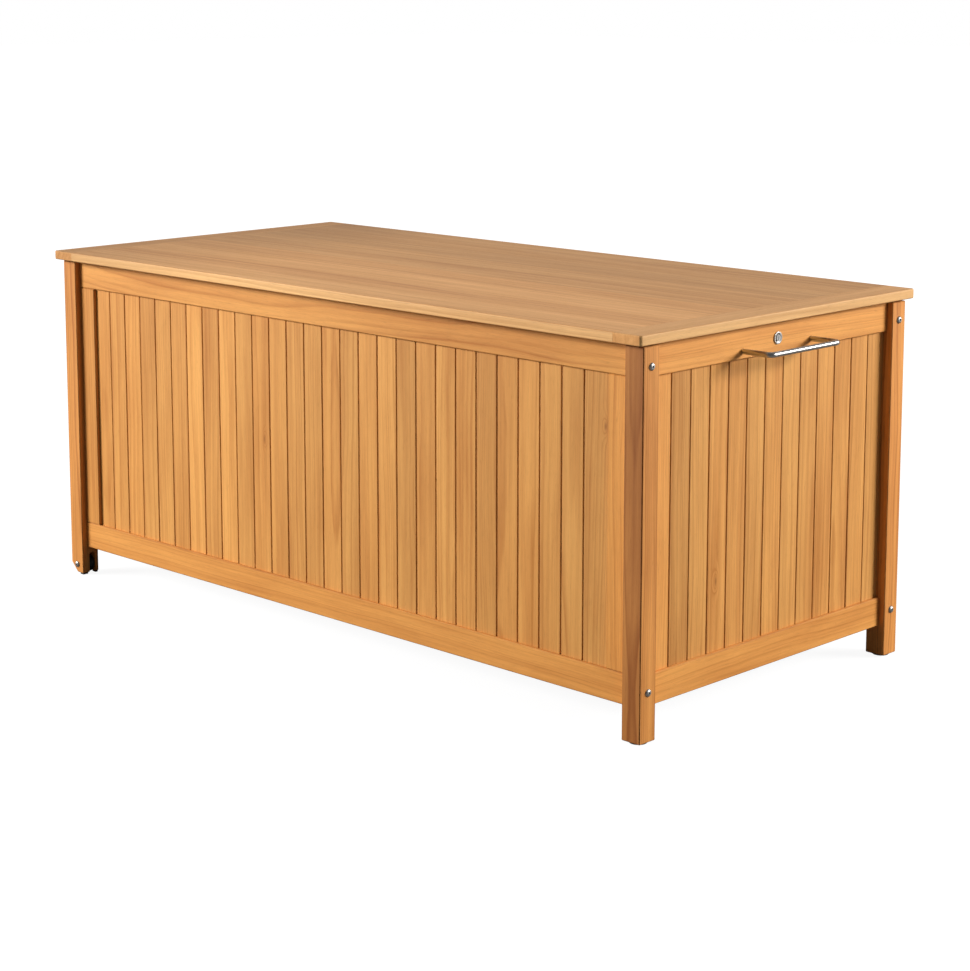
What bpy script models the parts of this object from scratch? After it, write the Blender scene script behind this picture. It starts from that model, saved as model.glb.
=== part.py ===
"""Deck storage box: a hardwood chest with vertical slats, a hinged lid on two gas struts,
a cam lock and bar handle on the right end, and two tilt wheels set into the left legs.

Metres, +Z up. X runs along the box (handle end is +X), Y runs from front (-Y) to rear (+Y).
The world origin is under the middle of the whole box, handle included, at floor level.
Parts are placed in the box's own frame, whose origin is under the middle of the four posts.
"""
import math

import bmesh
import bpy
from mathutils import Vector

# Driving dimensions
FRAME_LENGTH = 1.584
FRAME_DEPTH = 0.736
POST = 0.040
LID_LENGTH = 1.600
LID_DEPTH = 0.770
LID_THICKNESS = 0.018
LID_UNDERSIDE = 0.671
LID_END_WIDTH = 0.060
LID_GAP = 0.0034
RAIL_HEIGHT = 0.054
RAIL_THICKNESS = 0.022
RAIL_RECESS = 0.012
BOTTOM_RAIL_Z = 0.0595
STILE_WIDTH = 0.046
SLAT_THICKNESS = 0.012
SLAT_RECESS = 0.0185
SLAT_PITCH = 0.05033
SLAT_TONGUE = 0.008
SLAT_V_WIDTH = 0.003
SLAT_V_DEPTH = 0.002
FRONT_FIRST_JOINT = -0.661
FRONT_JOINTS = 27
END_FIRST_JOINT = -0.2747
END_JOINTS = 12
EASED_EDGE = 0.0015
LID_EASED_EDGE = 0.002
GAP = 0.0003
OVERCUT = 0.005

FLOOR_BEARER = (0.045, 0.025)
FLOOR_BEARER_X = 0.400
FLOOR_BOARD_THICKNESS = 0.012
FLOOR_BOARD_GAP = 0.006
FLOOR_BOARD_COUNT = 4
FLOOR_BOARD_LENGTH = 1.490
FLOOR_FIELD_DEPTH = 0.662
FLOOR_BEARER_Z = 0.062

GLIDE_THICKNESS = 0.003
GLIDE_RADIUS = 0.0155
GLIDE_CHAMFER = 0.0006
GLIDE_INSET = 0.002
LEG_CHAMFER = 0.025
OUTER_CHEEK_THICKNESS = 0.0165
INNER_CHEEK_THICKNESS = 0.0085
WHEEL_SLOT_TOP = 0.046
WHEEL_SLOT_EASE = 0.003
WHEEL_SIDE_ROOM = 0.0007
WHEEL_RADIUS = 0.0195
WHEEL_EDGE = 0.0025
AXLE_INSET = 0.0205
AXLE_HEIGHT = 0.0205
AXLE_RADIUS = 0.004
AXLE_HEAD_RADIUS = 0.00675
AXLE_HEAD_HEIGHT = 0.0035
AXLE_NUT_RADIUS = 0.0065
AXLE_NUT_LENGTH = 0.006
AXLE_NUT_ROOM = 0.001

BOLT_HEAD_RADIUS = 0.00675
BOLT_HEAD_HEIGHT = 0.0035
BOLT_SHANK_RADIUS = 0.003
BOLT_INTO_RAIL = 0.030
BOLT_END_ROOM = 0.001
BOLT_CROWN = 0.6
BOLT_SHOULDER = 0.9
BOLT_Z = {"top": 0.634, "bottom": 0.089}
BOLT_INSET = 0.020

HANDLE_SPACING = 0.192
HANDLE_RADIUS = 0.005
HANDLE_REACH = 0.060
HANDLE_CORNER = 0.008
HANDLE_Z = 0.6275

HINGE_X = 0.500
HINGE_WIDTH = 0.090
HINGE_KNUCKLE = 0.030
HINGE_KNUCKLE_RADIUS = 0.004
HINGE_BORE_RADIUS = 0.0022
HINGE_PIN_RADIUS = 0.0019
HINGE_LEAF = 0.0012
HINGE_LEAF_FRONT_Y = 0.337
HINGE_AXIS_BEHIND_POST = 0.005
HINGE_AXIS_DROP = 0.0044
HINGE_CUT = 0.010
HINGE_PIN_PROUD = 0.001

STRUT_ARM = 0.170
STRUT_LID_STUD_DROP = 0.014
STRUT_POST_STUD_Y = 0.321
STRUT_INSET = 0.052
STRUT_BARREL_RADIUS = 0.0075
STRUT_BARREL_START = 0.014
STRUT_BARREL_END = 0.171
STRUT_ROD_RADIUS = 0.003
STRUT_ROD_START = 0.030
STRUT_BORE_RADIUS = 0.0034
STRUT_EYE_RADIUS = 0.0065
STRUT_EYE_WIDTH = 0.008
STRUT_STUD_RADIUS = 0.003
STRUT_CRIMP = 0.001
STRUT_BRACKET = 0.0025
STUD_SLACK = 0.0005
POST_BRACKET_HEIGHT = 0.026
POST_BRACKET_FRONT = 0.009
POST_BRACKET_FLANGE = 0.032
LID_BRACKET_LENGTH = 0.040
LID_BRACKET_DROP = 0.006
LID_BRACKET_FLANGE = 0.020
LID_BRACKET_STANDOFF = 0.003

LOCK_Z = 0.6395
LOCK_FACE_RADIUS = 0.011
LOCK_FACE_HEIGHT = 0.002
LOCK_FACE_CHAMFER = 0.0008
LOCK_BACK = 0.004
LOCK_BARREL_RADIUS = 0.009
LOCK_PLUG_RADIUS = 0.006
LOCK_PLUG_PROUD = 0.0005
LOCK_BORE_RADIUS = 0.0063
LOCK_KEYWAY = (0.0015, 0.0075, 0.004)
LOCK_CAM_WIDTH = 0.014
LOCK_CAM_REACH = 0.030
LOCK_CAM_THICKNESS = 0.002
LOCK_CAM_X = 0.7473
STRIKE_SHEET = 0.0025
STRIKE_Y = (0.014, 0.032)
STRIKE_STEM_X = 0.741
STRIKE_LIP_Z = 0.626
STRIKE_FLANGE_WIDTH = 0.022
STRIKE_LIP_REACH = 0.002

# Derived places, in the box's own frame
HALF_LENGTH = FRAME_LENGTH / 2
HALF_DEPTH = FRAME_DEPTH / 2
FRAME_TOP = LID_UNDERSIDE - LID_GAP
POST_INNER_X = HALF_LENGTH - POST
POST_INNER_Y = HALF_DEPTH - POST
RAIL_FACE_X = HALF_LENGTH - RAIL_RECESS
HANDLE_BAR_X = RAIL_FACE_X + HANDLE_REACH
OVERALL_RIGHT = HANDLE_BAR_X + HANDLE_RADIUS
BASE_SHIFT_X = (LID_LENGTH / 2 - OVERALL_RIGHT) / 2
HINGE_AXIS = Vector((0, HALF_DEPTH + HINGE_AXIS_BEHIND_POST, LID_UNDERSIDE - HINGE_AXIS_DROP))
TOP_RAIL_Z = FRAME_TOP - RAIL_HEIGHT

X_AXIS = (0, math.radians(90), 0)
Y_AXIS = (math.radians(-90), 0, 0)
YZ_PLANE = (math.radians(90), 0, math.radians(90))


# Scene and materials

def clear_scene():
    for obj in list(bpy.data.objects):
        bpy.data.objects.remove(obj, do_unlink=True)


def new_collection(name):
    collection = bpy.data.collections.new(name)
    bpy.context.scene.collection.children.link(collection)
    return collection


def make_material(name, colour, roughness, metallic=0.0):
    material = bpy.data.materials.new(name)
    material.use_nodes = True
    shader = material.node_tree.nodes["Principled BSDF"]
    shader.inputs["Base Color"].default_value = (*colour, 1.0)
    shader.inputs["Roughness"].default_value = roughness
    shader.inputs["Metallic"].default_value = metallic
    return material


clear_scene()
PARTS = new_collection("deck_storage_box")
CUTTERS = new_collection("cutters")
POST_WOOD = make_material("post_wood", (0.50, 0.24, 0.10), 0.50)
RAIL_WOOD = make_material("rail_wood", (0.66, 0.37, 0.15), 0.50)
SLAT_WOOD = make_material("slat_wood", (0.67, 0.40, 0.18), 0.52)
LID_WOOD = make_material("lid_wood", (0.60, 0.37, 0.20), 0.42)
FLOOR_WOOD = make_material("floor_wood", (0.62, 0.38, 0.19), 0.60)
STEEL = make_material("brushed_steel", (0.62, 0.61, 0.59), 0.30, 1.0)
ZINC = make_material("zinc_plate", (0.55, 0.55, 0.54), 0.42, 1.0)
BLACK = make_material("black_plastic", (0.02, 0.02, 0.02), 0.55)
STRUT_PAINT = make_material("strut_paint", (0.015, 0.015, 0.016), 0.35)


# Shape tools

def add_empty(name, location, parent=None):
    empty = bpy.data.objects.new(name, None)
    PARTS.objects.link(empty)
    empty.location = location
    empty.parent = parent
    return empty


def add_object(name, data, location, material, parent, rotation=(0, 0, 0)):
    obj = bpy.data.objects.new(name, data)
    PARTS.objects.link(obj)
    obj.location = location
    obj.rotation_euler = rotation
    obj.parent = parent
    if material:
        data.materials.append(material)
    return obj


def box_mesh(name, size):
    mesh = bpy.data.meshes.new(name)
    bm = bmesh.new()
    bmesh.ops.create_cube(bm, size=1.0)
    bmesh.ops.scale(bm, vec=size, verts=bm.verts)
    bm.to_mesh(mesh)
    bm.free()
    return mesh


def ease_edges(obj, width=EASED_EDGE):
    bevel = obj.modifiers.new("eased_edges", "BEVEL")
    bevel.width = width
    bevel.segments = 1
    bevel.limit_method = "ANGLE"


def add_box(name, low, high, material, parent, ease=EASED_EDGE):
    """A rectangular board between two corners, given relative to its parent."""
    low, high = Vector(low), Vector(high)
    mesh = box_mesh(name, high - low)
    board = add_object(name, mesh, (low + high) / 2, material, parent)
    if ease:
        ease_edges(board, ease)
    return board


def make_cutter(cutter):
    """Takes an object out of the parts and keeps it as a Boolean cutter."""
    for collection in list(cutter.users_collection):
        collection.objects.unlink(cutter)
    CUTTERS.objects.link(cutter)
    cutter.hide_render = True
    cutter.display_type = "WIRE"
    return cutter


def combine(obj, other, operation):
    boolean = obj.modifiers.new(other.name, "BOOLEAN")
    boolean.operation = operation
    boolean.solver = "EXACT"
    boolean.object = make_cutter(other)


def cut(obj, other):
    combine(obj, other, "DIFFERENCE")


def join(obj, other):
    combine(obj, other, "UNION")


def add_rod(name, start, end, radius, parent, segments=16, material=None):
    """A cylinder between two points, given relative to its parent."""
    start, end = Vector(start), Vector(end)
    mesh = bpy.data.meshes.new(name)
    bm = bmesh.new()
    bmesh.ops.create_cone(
        bm, cap_ends=True, segments=segments, radius1=radius, radius2=radius, depth=(end - start).length
    )
    bm.to_mesh(mesh)
    bm.free()
    rod = add_object(name, mesh, (start + end) / 2, material, parent)
    rod.rotation_euler = (end - start).to_track_quat("Z", "Y").to_euler()
    return rod


def add_turned(name, profile, location, rotation, material, parent, steps=24, closed=False):
    """A turned piece: (radius, height) points, running top to bottom on the outer side."""
    mesh = bpy.data.meshes.new(name)
    points = [(radius, 0, height) for radius, height in profile]
    edges = [(i, i + 1) for i in range(len(points) - 1)]
    if closed:
        edges.append((len(points) - 1, 0))
    mesh.from_pydata(points, edges, [])
    piece = add_object(name, mesh, location, material, parent, rotation)
    screw = piece.modifiers.new("turned", "SCREW")
    screw.axis = "Z"
    screw.steps = steps
    screw.render_steps = steps
    screw.use_merge_vertices = True
    screw.merge_threshold = 0.00001
    return piece


def arc(centre, radius, start_deg, end_deg, count):
    """Points along an arc in a plane, from one angle to another."""
    step = math.radians(end_deg - start_deg) / count
    start = math.radians(start_deg)
    return [
        (centre[0] + radius * math.cos(start + step * i), centre[1] + radius * math.sin(start + step * i))
        for i in range(count + 1)
    ]


def add_plate(name, outlines, thickness, location, material, parent, rotation=(0, 0, 0)):
    """A flat plate: closed outlines (the first outside, the rest holes), thick along local Z."""
    curve = bpy.data.curves.new(name, "CURVE")
    curve.dimensions = "2D"
    curve.fill_mode = "BOTH"
    curve.extrude = thickness / 2
    for outline in outlines:
        spline = curve.splines.new("POLY")
        spline.points.add(len(outline) - 1)
        for point, (x, y) in zip(spline.points, outline):
            point.co = (x, y, 0, 1)
        spline.use_cyclic_u = True
    return add_object(name, curve, location, material, parent, rotation)


def meshed(obj):
    """Turns a curve object into a welded mesh object, so that it can be cut or joined."""
    bpy.context.view_layer.update()
    evaluated = obj.evaluated_get(bpy.context.evaluated_depsgraph_get())
    mesh = bpy.data.meshes.new_from_object(evaluated)
    bm = bmesh.new()
    bm.from_mesh(mesh)
    bmesh.ops.remove_doubles(bm, verts=bm.verts, dist=0.000001)
    bm.to_mesh(mesh)
    bm.free()
    name = obj.name
    parent = obj.parent
    world = obj.matrix_world.copy()
    bpy.data.objects.remove(obj, do_unlink=True)
    solid = bpy.data.objects.new(name, mesh)
    PARTS.objects.link(solid)
    solid.parent = parent
    solid.matrix_world = world
    return solid


# Posts and feet

def build_posts(base):
    for side_name, side in (("left", -1), ("right", 1)):
        for row_name, row in (("front", -1), ("rear", 1)):
            x = sorted((side * HALF_LENGTH, side * POST_INNER_X))
            y = sorted((row * HALF_DEPTH, row * POST_INNER_Y))
            name = f"post_{row_name}_{side_name}"
            low, high = (x[0], y[0], GLIDE_THICKNESS + GAP), (x[1], y[1], FRAME_TOP)
            post = add_box(name, low, high, POST_WOOD, base)
            if side > 0:
                cut_bolt_holes(post, row, base)
                build_round_glide(row_name, row, base)
            else:
                shape_wheel_leg(post, row, base)
                build_small_glide(row_name, row, base)


def cut_bolt_holes(post, row, base):
    y = row * (HALF_DEPTH - BOLT_INSET)
    for level, z in BOLT_Z.items():
        start = (POST_INNER_X - OVERCUT, y, z)
        end = (HALF_LENGTH + OVERCUT, y, z)
        hole = add_rod(f"hole_{post.name}_{level}", start, end, BOLT_SHANK_RADIUS + GAP, base, 12)
        cut(post, hole)


def shape_wheel_leg(post, row, base):
    """Cuts the slot that the wheel sits in, the tilting chamfer and the axle hole."""
    outer_cheek = HALF_DEPTH - OUTER_CHEEK_THICKNESS
    inner_cheek = POST_INNER_Y + INNER_CHEEK_THICKNESS
    y = sorted((row * outer_cheek, row * inner_cheek))
    low = (-HALF_LENGTH - OVERCUT, y[0], -OVERCUT)
    high = (-POST_INNER_X + OVERCUT, y[1], WHEEL_SLOT_TOP)
    cut(post, add_box(f"slot_{post.name}", low, high, None, base, ease=WHEEL_SLOT_EASE))

    size = LEG_CHAMFER * math.sqrt(2)
    corner = box_mesh(f"chamfer_{post.name}", (size, POST + 2 * OVERCUT, size))
    y_middle = row * (HALF_DEPTH - POST / 2)
    place = (-HALF_LENGTH, y_middle, 0)
    cutter = add_object(corner.name, corner, place, None, base, (0, math.radians(45), 0))
    cut(post, cutter)

    x = -HALF_LENGTH + AXLE_INSET
    start = (x, row * (HALF_DEPTH + OVERCUT), AXLE_HEIGHT)
    end = (x, row * (POST_INNER_Y - OVERCUT), AXLE_HEIGHT)
    cut(post, add_rod(f"bore_{post.name}", start, end, AXLE_RADIUS + GAP, base, 16))


def build_round_glide(row_name, row, base):
    place = (HALF_LENGTH - POST / 2, row * (HALF_DEPTH - POST / 2), 0)
    profile = [
        (0, GLIDE_THICKNESS),
        (GLIDE_RADIUS, GLIDE_THICKNESS),
        (GLIDE_RADIUS, GLIDE_CHAMFER),
        (GLIDE_RADIUS - GLIDE_CHAMFER, 0),
        (0, 0),
    ]
    add_turned(f"glide_{row_name}_right", profile, place, (0, 0, 0), BLACK, base)


def build_small_glide(row_name, row, base):
    inset = GLIDE_INSET
    x = (-HALF_LENGTH + LEG_CHAMFER + inset, -POST_INNER_X - inset)
    y = sorted((row * (HALF_DEPTH - inset), row * (HALF_DEPTH - OUTER_CHEEK_THICKNESS + inset)))
    low, high = (x[0], y[0], 0), (x[1], y[1], GLIDE_THICKNESS)
    add_box(f"glide_{row_name}_left", low, high, BLACK, base, ease=GLIDE_CHAMFER)


# Long sides and ends

def slat_outline(start, end, first_joint, joints):
    """Plan of a tongued-and-grooved slat panel; its outer face is on y = 0."""
    points = [(start, 0)]
    for i in range(joints):
        x = first_joint + i * SLAT_PITCH
        points += [(x - SLAT_V_WIDTH / 2, 0), (x, SLAT_V_DEPTH), (x + SLAT_V_WIDTH / 2, 0)]
    points += [(end, 0), (end, SLAT_THICKNESS), (start, SLAT_THICKNESS)]
    return points


def cut_groove(rail, low, high, base):
    cut(rail, add_box(f"groove_{rail.name}", low, high, None, base, ease=0))


def groove_band(row, half_span):
    """The two faces of a slat groove, measured from the outer face of the posts."""
    outer = row * (half_span - SLAT_RECESS + GAP)
    inner = row * (half_span - SLAT_RECESS - SLAT_THICKNESS - GAP)
    return sorted((outer, inner))


def build_long_side(name, row, base):
    """Front or rear: two rails between the posts, two stiles, and the slats set in their grooves."""
    y = sorted((row * (HALF_DEPTH - RAIL_RECESS), row * (HALF_DEPTH - RAIL_RECESS - RAIL_THICKNESS)))
    groove_y = groove_band(row, HALF_DEPTH)
    x_end = POST_INNER_X - GAP
    depth = SLAT_TONGUE + GAP
    bottom_top = BOTTOM_RAIL_Z + RAIL_HEIGHT
    rails = {
        "top": (TOP_RAIL_Z, FRAME_TOP, TOP_RAIL_Z - OVERCUT, TOP_RAIL_Z + depth),
        "bottom": (BOTTOM_RAIL_Z, bottom_top, bottom_top - depth, bottom_top + OVERCUT),
    }
    for level, (z0, z1, g0, g1) in rails.items():
        rail_name = f"{name}_{level}_rail"
        rail = add_box(rail_name, (-x_end, y[0], z0), (x_end, y[1], z1), RAIL_WOOD, base)
        cut_groove(rail, (-x_end - OVERCUT, groove_y[0], g0), (x_end + OVERCUT, groove_y[1], g1), base)
        bolt_y = row * (HALF_DEPTH - BOLT_INSET)
        start = (POST_INNER_X - BOLT_INTO_RAIL - BOLT_END_ROOM, bolt_y, BOLT_Z[level])
        end = (POST_INNER_X + OVERCUT, bolt_y, BOLT_Z[level])
        cut(rail, add_rod(f"hole_{rail_name}", start, end, BOLT_SHANK_RADIUS + GAP, base, 12))

    stile_z = (bottom_top + GAP, TOP_RAIL_Z - GAP)
    field = POST_INNER_X - STILE_WIDTH
    for side_name, side in (("left", -1), ("right", 1)):
        x = sorted((side * (POST_INNER_X - GAP), side * field))
        stile_name = f"{name}_{side_name}_stile"
        low, high = (x[0], y[0], stile_z[0]), (x[1], y[1], stile_z[1])
        stile = add_box(stile_name, low, high, RAIL_WOOD, base)
        gx = sorted((side * (field - OVERCUT), side * (field + depth)))
        low = (gx[0], groove_y[0], stile_z[0] - OVERCUT)
        high = (gx[1], groove_y[1], stile_z[1] + OVERCUT)
        cut_groove(stile, low, high, base)

    outline = slat_outline(-field - SLAT_TONGUE, field + SLAT_TONGUE, FRONT_FIRST_JOINT, FRONT_JOINTS)
    z0, z1 = bottom_top - SLAT_TONGUE, TOP_RAIL_Z + SLAT_TONGUE
    place = (0, row * (HALF_DEPTH - SLAT_RECESS), (z0 + z1) / 2)
    turn = (0, 0, 0) if row < 0 else (0, 0, math.pi)
    add_plate(f"{name}_slats", [outline], z1 - z0, place, SLAT_WOOD, base, turn)


def build_end(name, side, base):
    """Left or right end: two rails between the posts, with the slats set in their grooves."""
    x = sorted((side * RAIL_FACE_X, side * (RAIL_FACE_X - RAIL_THICKNESS)))
    groove_x = groove_band(side, HALF_LENGTH)
    y_end = POST_INNER_Y - GAP
    depth = SLAT_TONGUE + GAP
    bottom_top = BOTTOM_RAIL_Z + RAIL_HEIGHT
    rails = {
        "top": (TOP_RAIL_Z, FRAME_TOP, TOP_RAIL_Z - OVERCUT, TOP_RAIL_Z + depth),
        "bottom": (BOTTOM_RAIL_Z, bottom_top, bottom_top - depth, bottom_top + OVERCUT),
    }
    for level, (z0, z1, g0, g1) in rails.items():
        low, high = (x[0], -y_end, z0), (x[1], y_end, z1)
        rail = add_box(f"{name}_{level}_rail", low, high, RAIL_WOOD, base)
        cut_groove(rail, (groove_x[0], -y_end - OVERCUT, g0), (groove_x[1], y_end + OVERCUT, g1), base)
        if side > 0 and level == "top":
            start = (x[0] - OVERCUT, 0, LOCK_Z)
            end = (x[1] + OVERCUT, 0, LOCK_Z)
            cut(rail, add_rod("hole_lock", start, end, LOCK_BARREL_RADIUS + GAP, base, 24))

    outline = slat_outline(-y_end, y_end, END_FIRST_JOINT, END_JOINTS)
    z0, z1 = bottom_top - SLAT_TONGUE, TOP_RAIL_Z + SLAT_TONGUE
    place = (side * (HALF_LENGTH - SLAT_RECESS), 0, (z0 + z1) / 2)
    add_plate(f"{name}_slats", [outline], z1 - z0, place, SLAT_WOOD, base, (0, 0, side * math.pi / 2))


def build_floor(base):
    bearer_y = HALF_DEPTH - RAIL_RECESS - RAIL_THICKNESS - GAP
    width, height = FLOOR_BEARER
    top = FLOOR_BEARER_Z + height
    for side_name, side in (("left", -1), ("right", 1)):
        x = side * FLOOR_BEARER_X
        low = (x - width / 2, -bearer_y, FLOOR_BEARER_Z)
        high = (x + width / 2, bearer_y, top)
        add_box(f"floor_bearer_{side_name}", low, high, FLOOR_WOOD, base)
    count = FLOOR_BOARD_COUNT
    board = (FLOOR_FIELD_DEPTH - (count - 1) * FLOOR_BOARD_GAP) / count
    for i in range(count):
        y0 = -FLOOR_FIELD_DEPTH / 2 + i * (board + FLOOR_BOARD_GAP)
        low = (-FLOOR_BOARD_LENGTH / 2, y0, top + GAP)
        high = (FLOOR_BOARD_LENGTH / 2, y0 + board, top + GAP + FLOOR_BOARD_THICKNESS)
        add_box(f"floor_board_{i + 1}", low, high, FLOOR_WOOD, base)


# Right end hardware and bolts

def button_bolt_profile(head_radius, head_height, shank_radius, length, nut=None):
    """A button-head bolt along -Z from its seat at 0; nut is (radius, length) at the far end."""
    profile = [
        (0, head_height),
        (head_radius * BOLT_CROWN, head_height),
        (head_radius * BOLT_SHOULDER, head_height * BOLT_CROWN),
        (head_radius, 0),
        (shank_radius, 0),
    ]
    if nut:
        radius, nut_length = nut
        profile += [(shank_radius, -length + nut_length), (radius, -length + nut_length), (radius, -length)]
    else:
        profile += [(shank_radius, -length)]
    profile += [(0, -length)]
    return profile


def build_bolts(base):
    length = POST + BOLT_INTO_RAIL
    profile = button_bolt_profile(BOLT_HEAD_RADIUS, BOLT_HEAD_HEIGHT, BOLT_SHANK_RADIUS, length)
    for row_name, row in (("front", -1), ("rear", 1)):
        for level, z in BOLT_Z.items():
            place = (HALF_LENGTH + GAP, row * (HALF_DEPTH - BOLT_INSET), z)
            add_turned(f"bolt_{row_name}_{level}", profile, place, X_AXIS, STEEL, base, steps=16)


def build_handle(base):
    """A round bar bent square at both ends, standing out from the right end's top rail."""
    reach = HANDLE_REACH - GAP
    half = HANDLE_SPACING / 2
    corner = HANDLE_CORNER
    points = [(0, -half)]
    points += arc((reach - corner, -half + corner), corner, -90, 0, 5)
    points += arc((reach - corner, half - corner), corner, 0, 90, 5)
    points += [(0, half)]
    curve = bpy.data.curves.new("carry_handle", "CURVE")
    curve.dimensions = "3D"
    curve.bevel_depth = HANDLE_RADIUS
    curve.bevel_resolution = 3
    curve.use_fill_caps = True
    spline = curve.splines.new("POLY")
    spline.points.add(len(points) - 1)
    for point, (x, y) in zip(spline.points, points):
        point.co = (x, y, 0, 1)
    add_object("carry_handle", curve, (RAIL_FACE_X + GAP, 0, HANDLE_Z), STEEL, base)


def build_lock(base, lid):
    housing_back = -RAIL_THICKNESS - LOCK_BACK
    profile = [
        (LOCK_BORE_RADIUS, LOCK_FACE_HEIGHT),
        (LOCK_FACE_RADIUS - LOCK_FACE_CHAMFER, LOCK_FACE_HEIGHT),
        (LOCK_FACE_RADIUS, LOCK_FACE_HEIGHT - LOCK_FACE_CHAMFER),
        (LOCK_FACE_RADIUS, 0),
        (LOCK_BARREL_RADIUS, 0),
        (LOCK_BARREL_RADIUS, housing_back),
        (LOCK_BORE_RADIUS, housing_back),
    ]
    face = (RAIL_FACE_X + GAP, 0, LOCK_Z)
    add_turned("lock_housing", profile, face, X_AXIS, STEEL, base, steps=24, closed=True)

    cam_outer_x = LOCK_CAM_X + LOCK_CAM_THICKNESS
    plug_back = cam_outer_x + GAP - face[0]
    front = LOCK_FACE_HEIGHT + LOCK_PLUG_PROUD
    profile = [(0, front), (LOCK_PLUG_RADIUS, front), (LOCK_PLUG_RADIUS, plug_back), (0, plug_back)]
    plug = add_turned("lock_plug", profile, face, X_AXIS, STEEL, base, steps=24)
    width, height, depth = LOCK_KEYWAY
    low = (face[0] + front - depth, -width / 2, LOCK_Z - height / 2)
    high = (face[0] + front + OVERCUT, width / 2, LOCK_Z + height / 2)
    cut(plug, add_box("keyway", low, high, None, base, ease=0))

    half = LOCK_CAM_WIDTH / 2
    tip = LOCK_CAM_REACH - half
    outline = arc((0, tip), half, 0, 180, 8) + arc((0, 0), half, 180, 360, 8)
    place = (LOCK_CAM_X + LOCK_CAM_THICKNESS / 2, 0, LOCK_Z)
    add_plate("lock_cam", [outline], LOCK_CAM_THICKNESS, place, ZINC, base, YZ_PLANE)

    stem_x = STRIKE_STEM_X
    sheet = STRIKE_SHEET
    top = LID_UNDERSIDE - GAP
    lip_end = LOCK_CAM_X + LOCK_CAM_THICKNESS + STRIKE_LIP_REACH
    outline = [
        (stem_x, STRIKE_LIP_Z),
        (lip_end, STRIKE_LIP_Z),
        (lip_end, STRIKE_LIP_Z + sheet),
        (stem_x + sheet, STRIKE_LIP_Z + sheet),
        (stem_x + sheet, top),
        (stem_x + sheet - STRIKE_FLANGE_WIDTH, top),
        (stem_x + sheet - STRIKE_FLANGE_WIDTH, top - sheet),
        (stem_x, top - sheet),
    ]
    outline = [(x, z - HINGE_AXIS.z) for x, z in outline]
    y_middle = sum(STRIKE_Y) / 2 - HINGE_AXIS.y
    turn = (math.radians(90), 0, 0)
    add_plate("lock_strike", [outline], STRIKE_Y[1] - STRIKE_Y[0], (0, y_middle, 0), ZINC, lid, turn)


# Tilt wheels

def build_wheels(base):
    x = -HALF_LENGTH + AXLE_INSET
    bore = AXLE_RADIUS + GAP
    slot_width = POST - OUTER_CHEEK_THICKNESS - INNER_CHEEK_THICKNESS
    half = slot_width / 2 - WHEEL_SIDE_ROOM
    edge = WHEEL_EDGE
    wheel_profile = [
        (bore, half),
        (WHEEL_RADIUS - edge, half),
        (WHEEL_RADIUS, half - edge),
        (WHEEL_RADIUS, -half + edge),
        (WHEEL_RADIUS - edge, -half),
        (bore, -half),
    ]
    nut = (AXLE_NUT_RADIUS, AXLE_NUT_LENGTH)
    length = POST + GAP + AXLE_NUT_ROOM + AXLE_NUT_LENGTH
    axle_profile = button_bolt_profile(
        AXLE_HEAD_RADIUS, AXLE_HEAD_HEIGHT, AXLE_RADIUS, length, nut
    )
    for row_name, row in (("front", -1), ("rear", 1)):
        slot_middle = HALF_DEPTH - OUTER_CHEEK_THICKNESS - slot_width / 2
        place = (x, row * slot_middle, AXLE_HEIGHT)
        add_turned(f"wheel_{row_name}", wheel_profile, place, Y_AXIS, BLACK, base, closed=True)
        seat = (x, row * (HALF_DEPTH + GAP), AXLE_HEIGHT)
        turn = Y_AXIS if row > 0 else (math.radians(90), 0, 0)
        add_turned(f"wheel_axle_{row_name}", axle_profile, seat, turn, STEEL, base, steps=16)


# Lid, hinges and gas struts

def build_lid(lid):
    """The lid's boards, given relative to the hinge axis."""
    drop = HINGE_AXIS
    z0, z1 = LID_UNDERSIDE - drop.z, LID_UNDERSIDE + LID_THICKNESS - drop.z
    y0, y1 = -LID_DEPTH / 2 - drop.y, LID_DEPTH / 2 - drop.y
    x_end = LID_LENGTH / 2
    x_panel = x_end - LID_END_WIDTH - GAP / 2
    add_box("lid_panel", (-x_panel, y0, z0), (x_panel, y1, z1), LID_WOOD, lid, LID_EASED_EDGE)
    x_inner = x_panel + GAP
    add_box("lid_end_left", (-x_end, y0, z0), (-x_inner, y1, z1), LID_WOOD, lid, LID_EASED_EDGE)
    add_box("lid_end_right", (x_inner, y0, z0), (x_end, y1, z1), LID_WOOD, lid, LID_EASED_EDGE)


def hinge_leaf_outlines(leaf_z):
    """Section of a hinge leaf with its rolled knuckle, about the hinge axis; leaf_z is its two faces."""
    radius = HINGE_KNUCKLE_RADIUS
    front = HINGE_LEAF_FRONT_Y - HINGE_AXIS.y
    lower = 180 - math.degrees(math.asin(leaf_z[0] / radius))
    upper = 180 - math.degrees(math.asin(min(leaf_z[1] / radius, 1.0)))
    outside = [(front, leaf_z[1]), (front, leaf_z[0])]
    outside += arc((0, 0), radius, lower, upper + 360, 18)
    bore = arc((0, 0), HINGE_BORE_RADIUS, 0, 345, 23)
    return [outside, bore]


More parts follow.
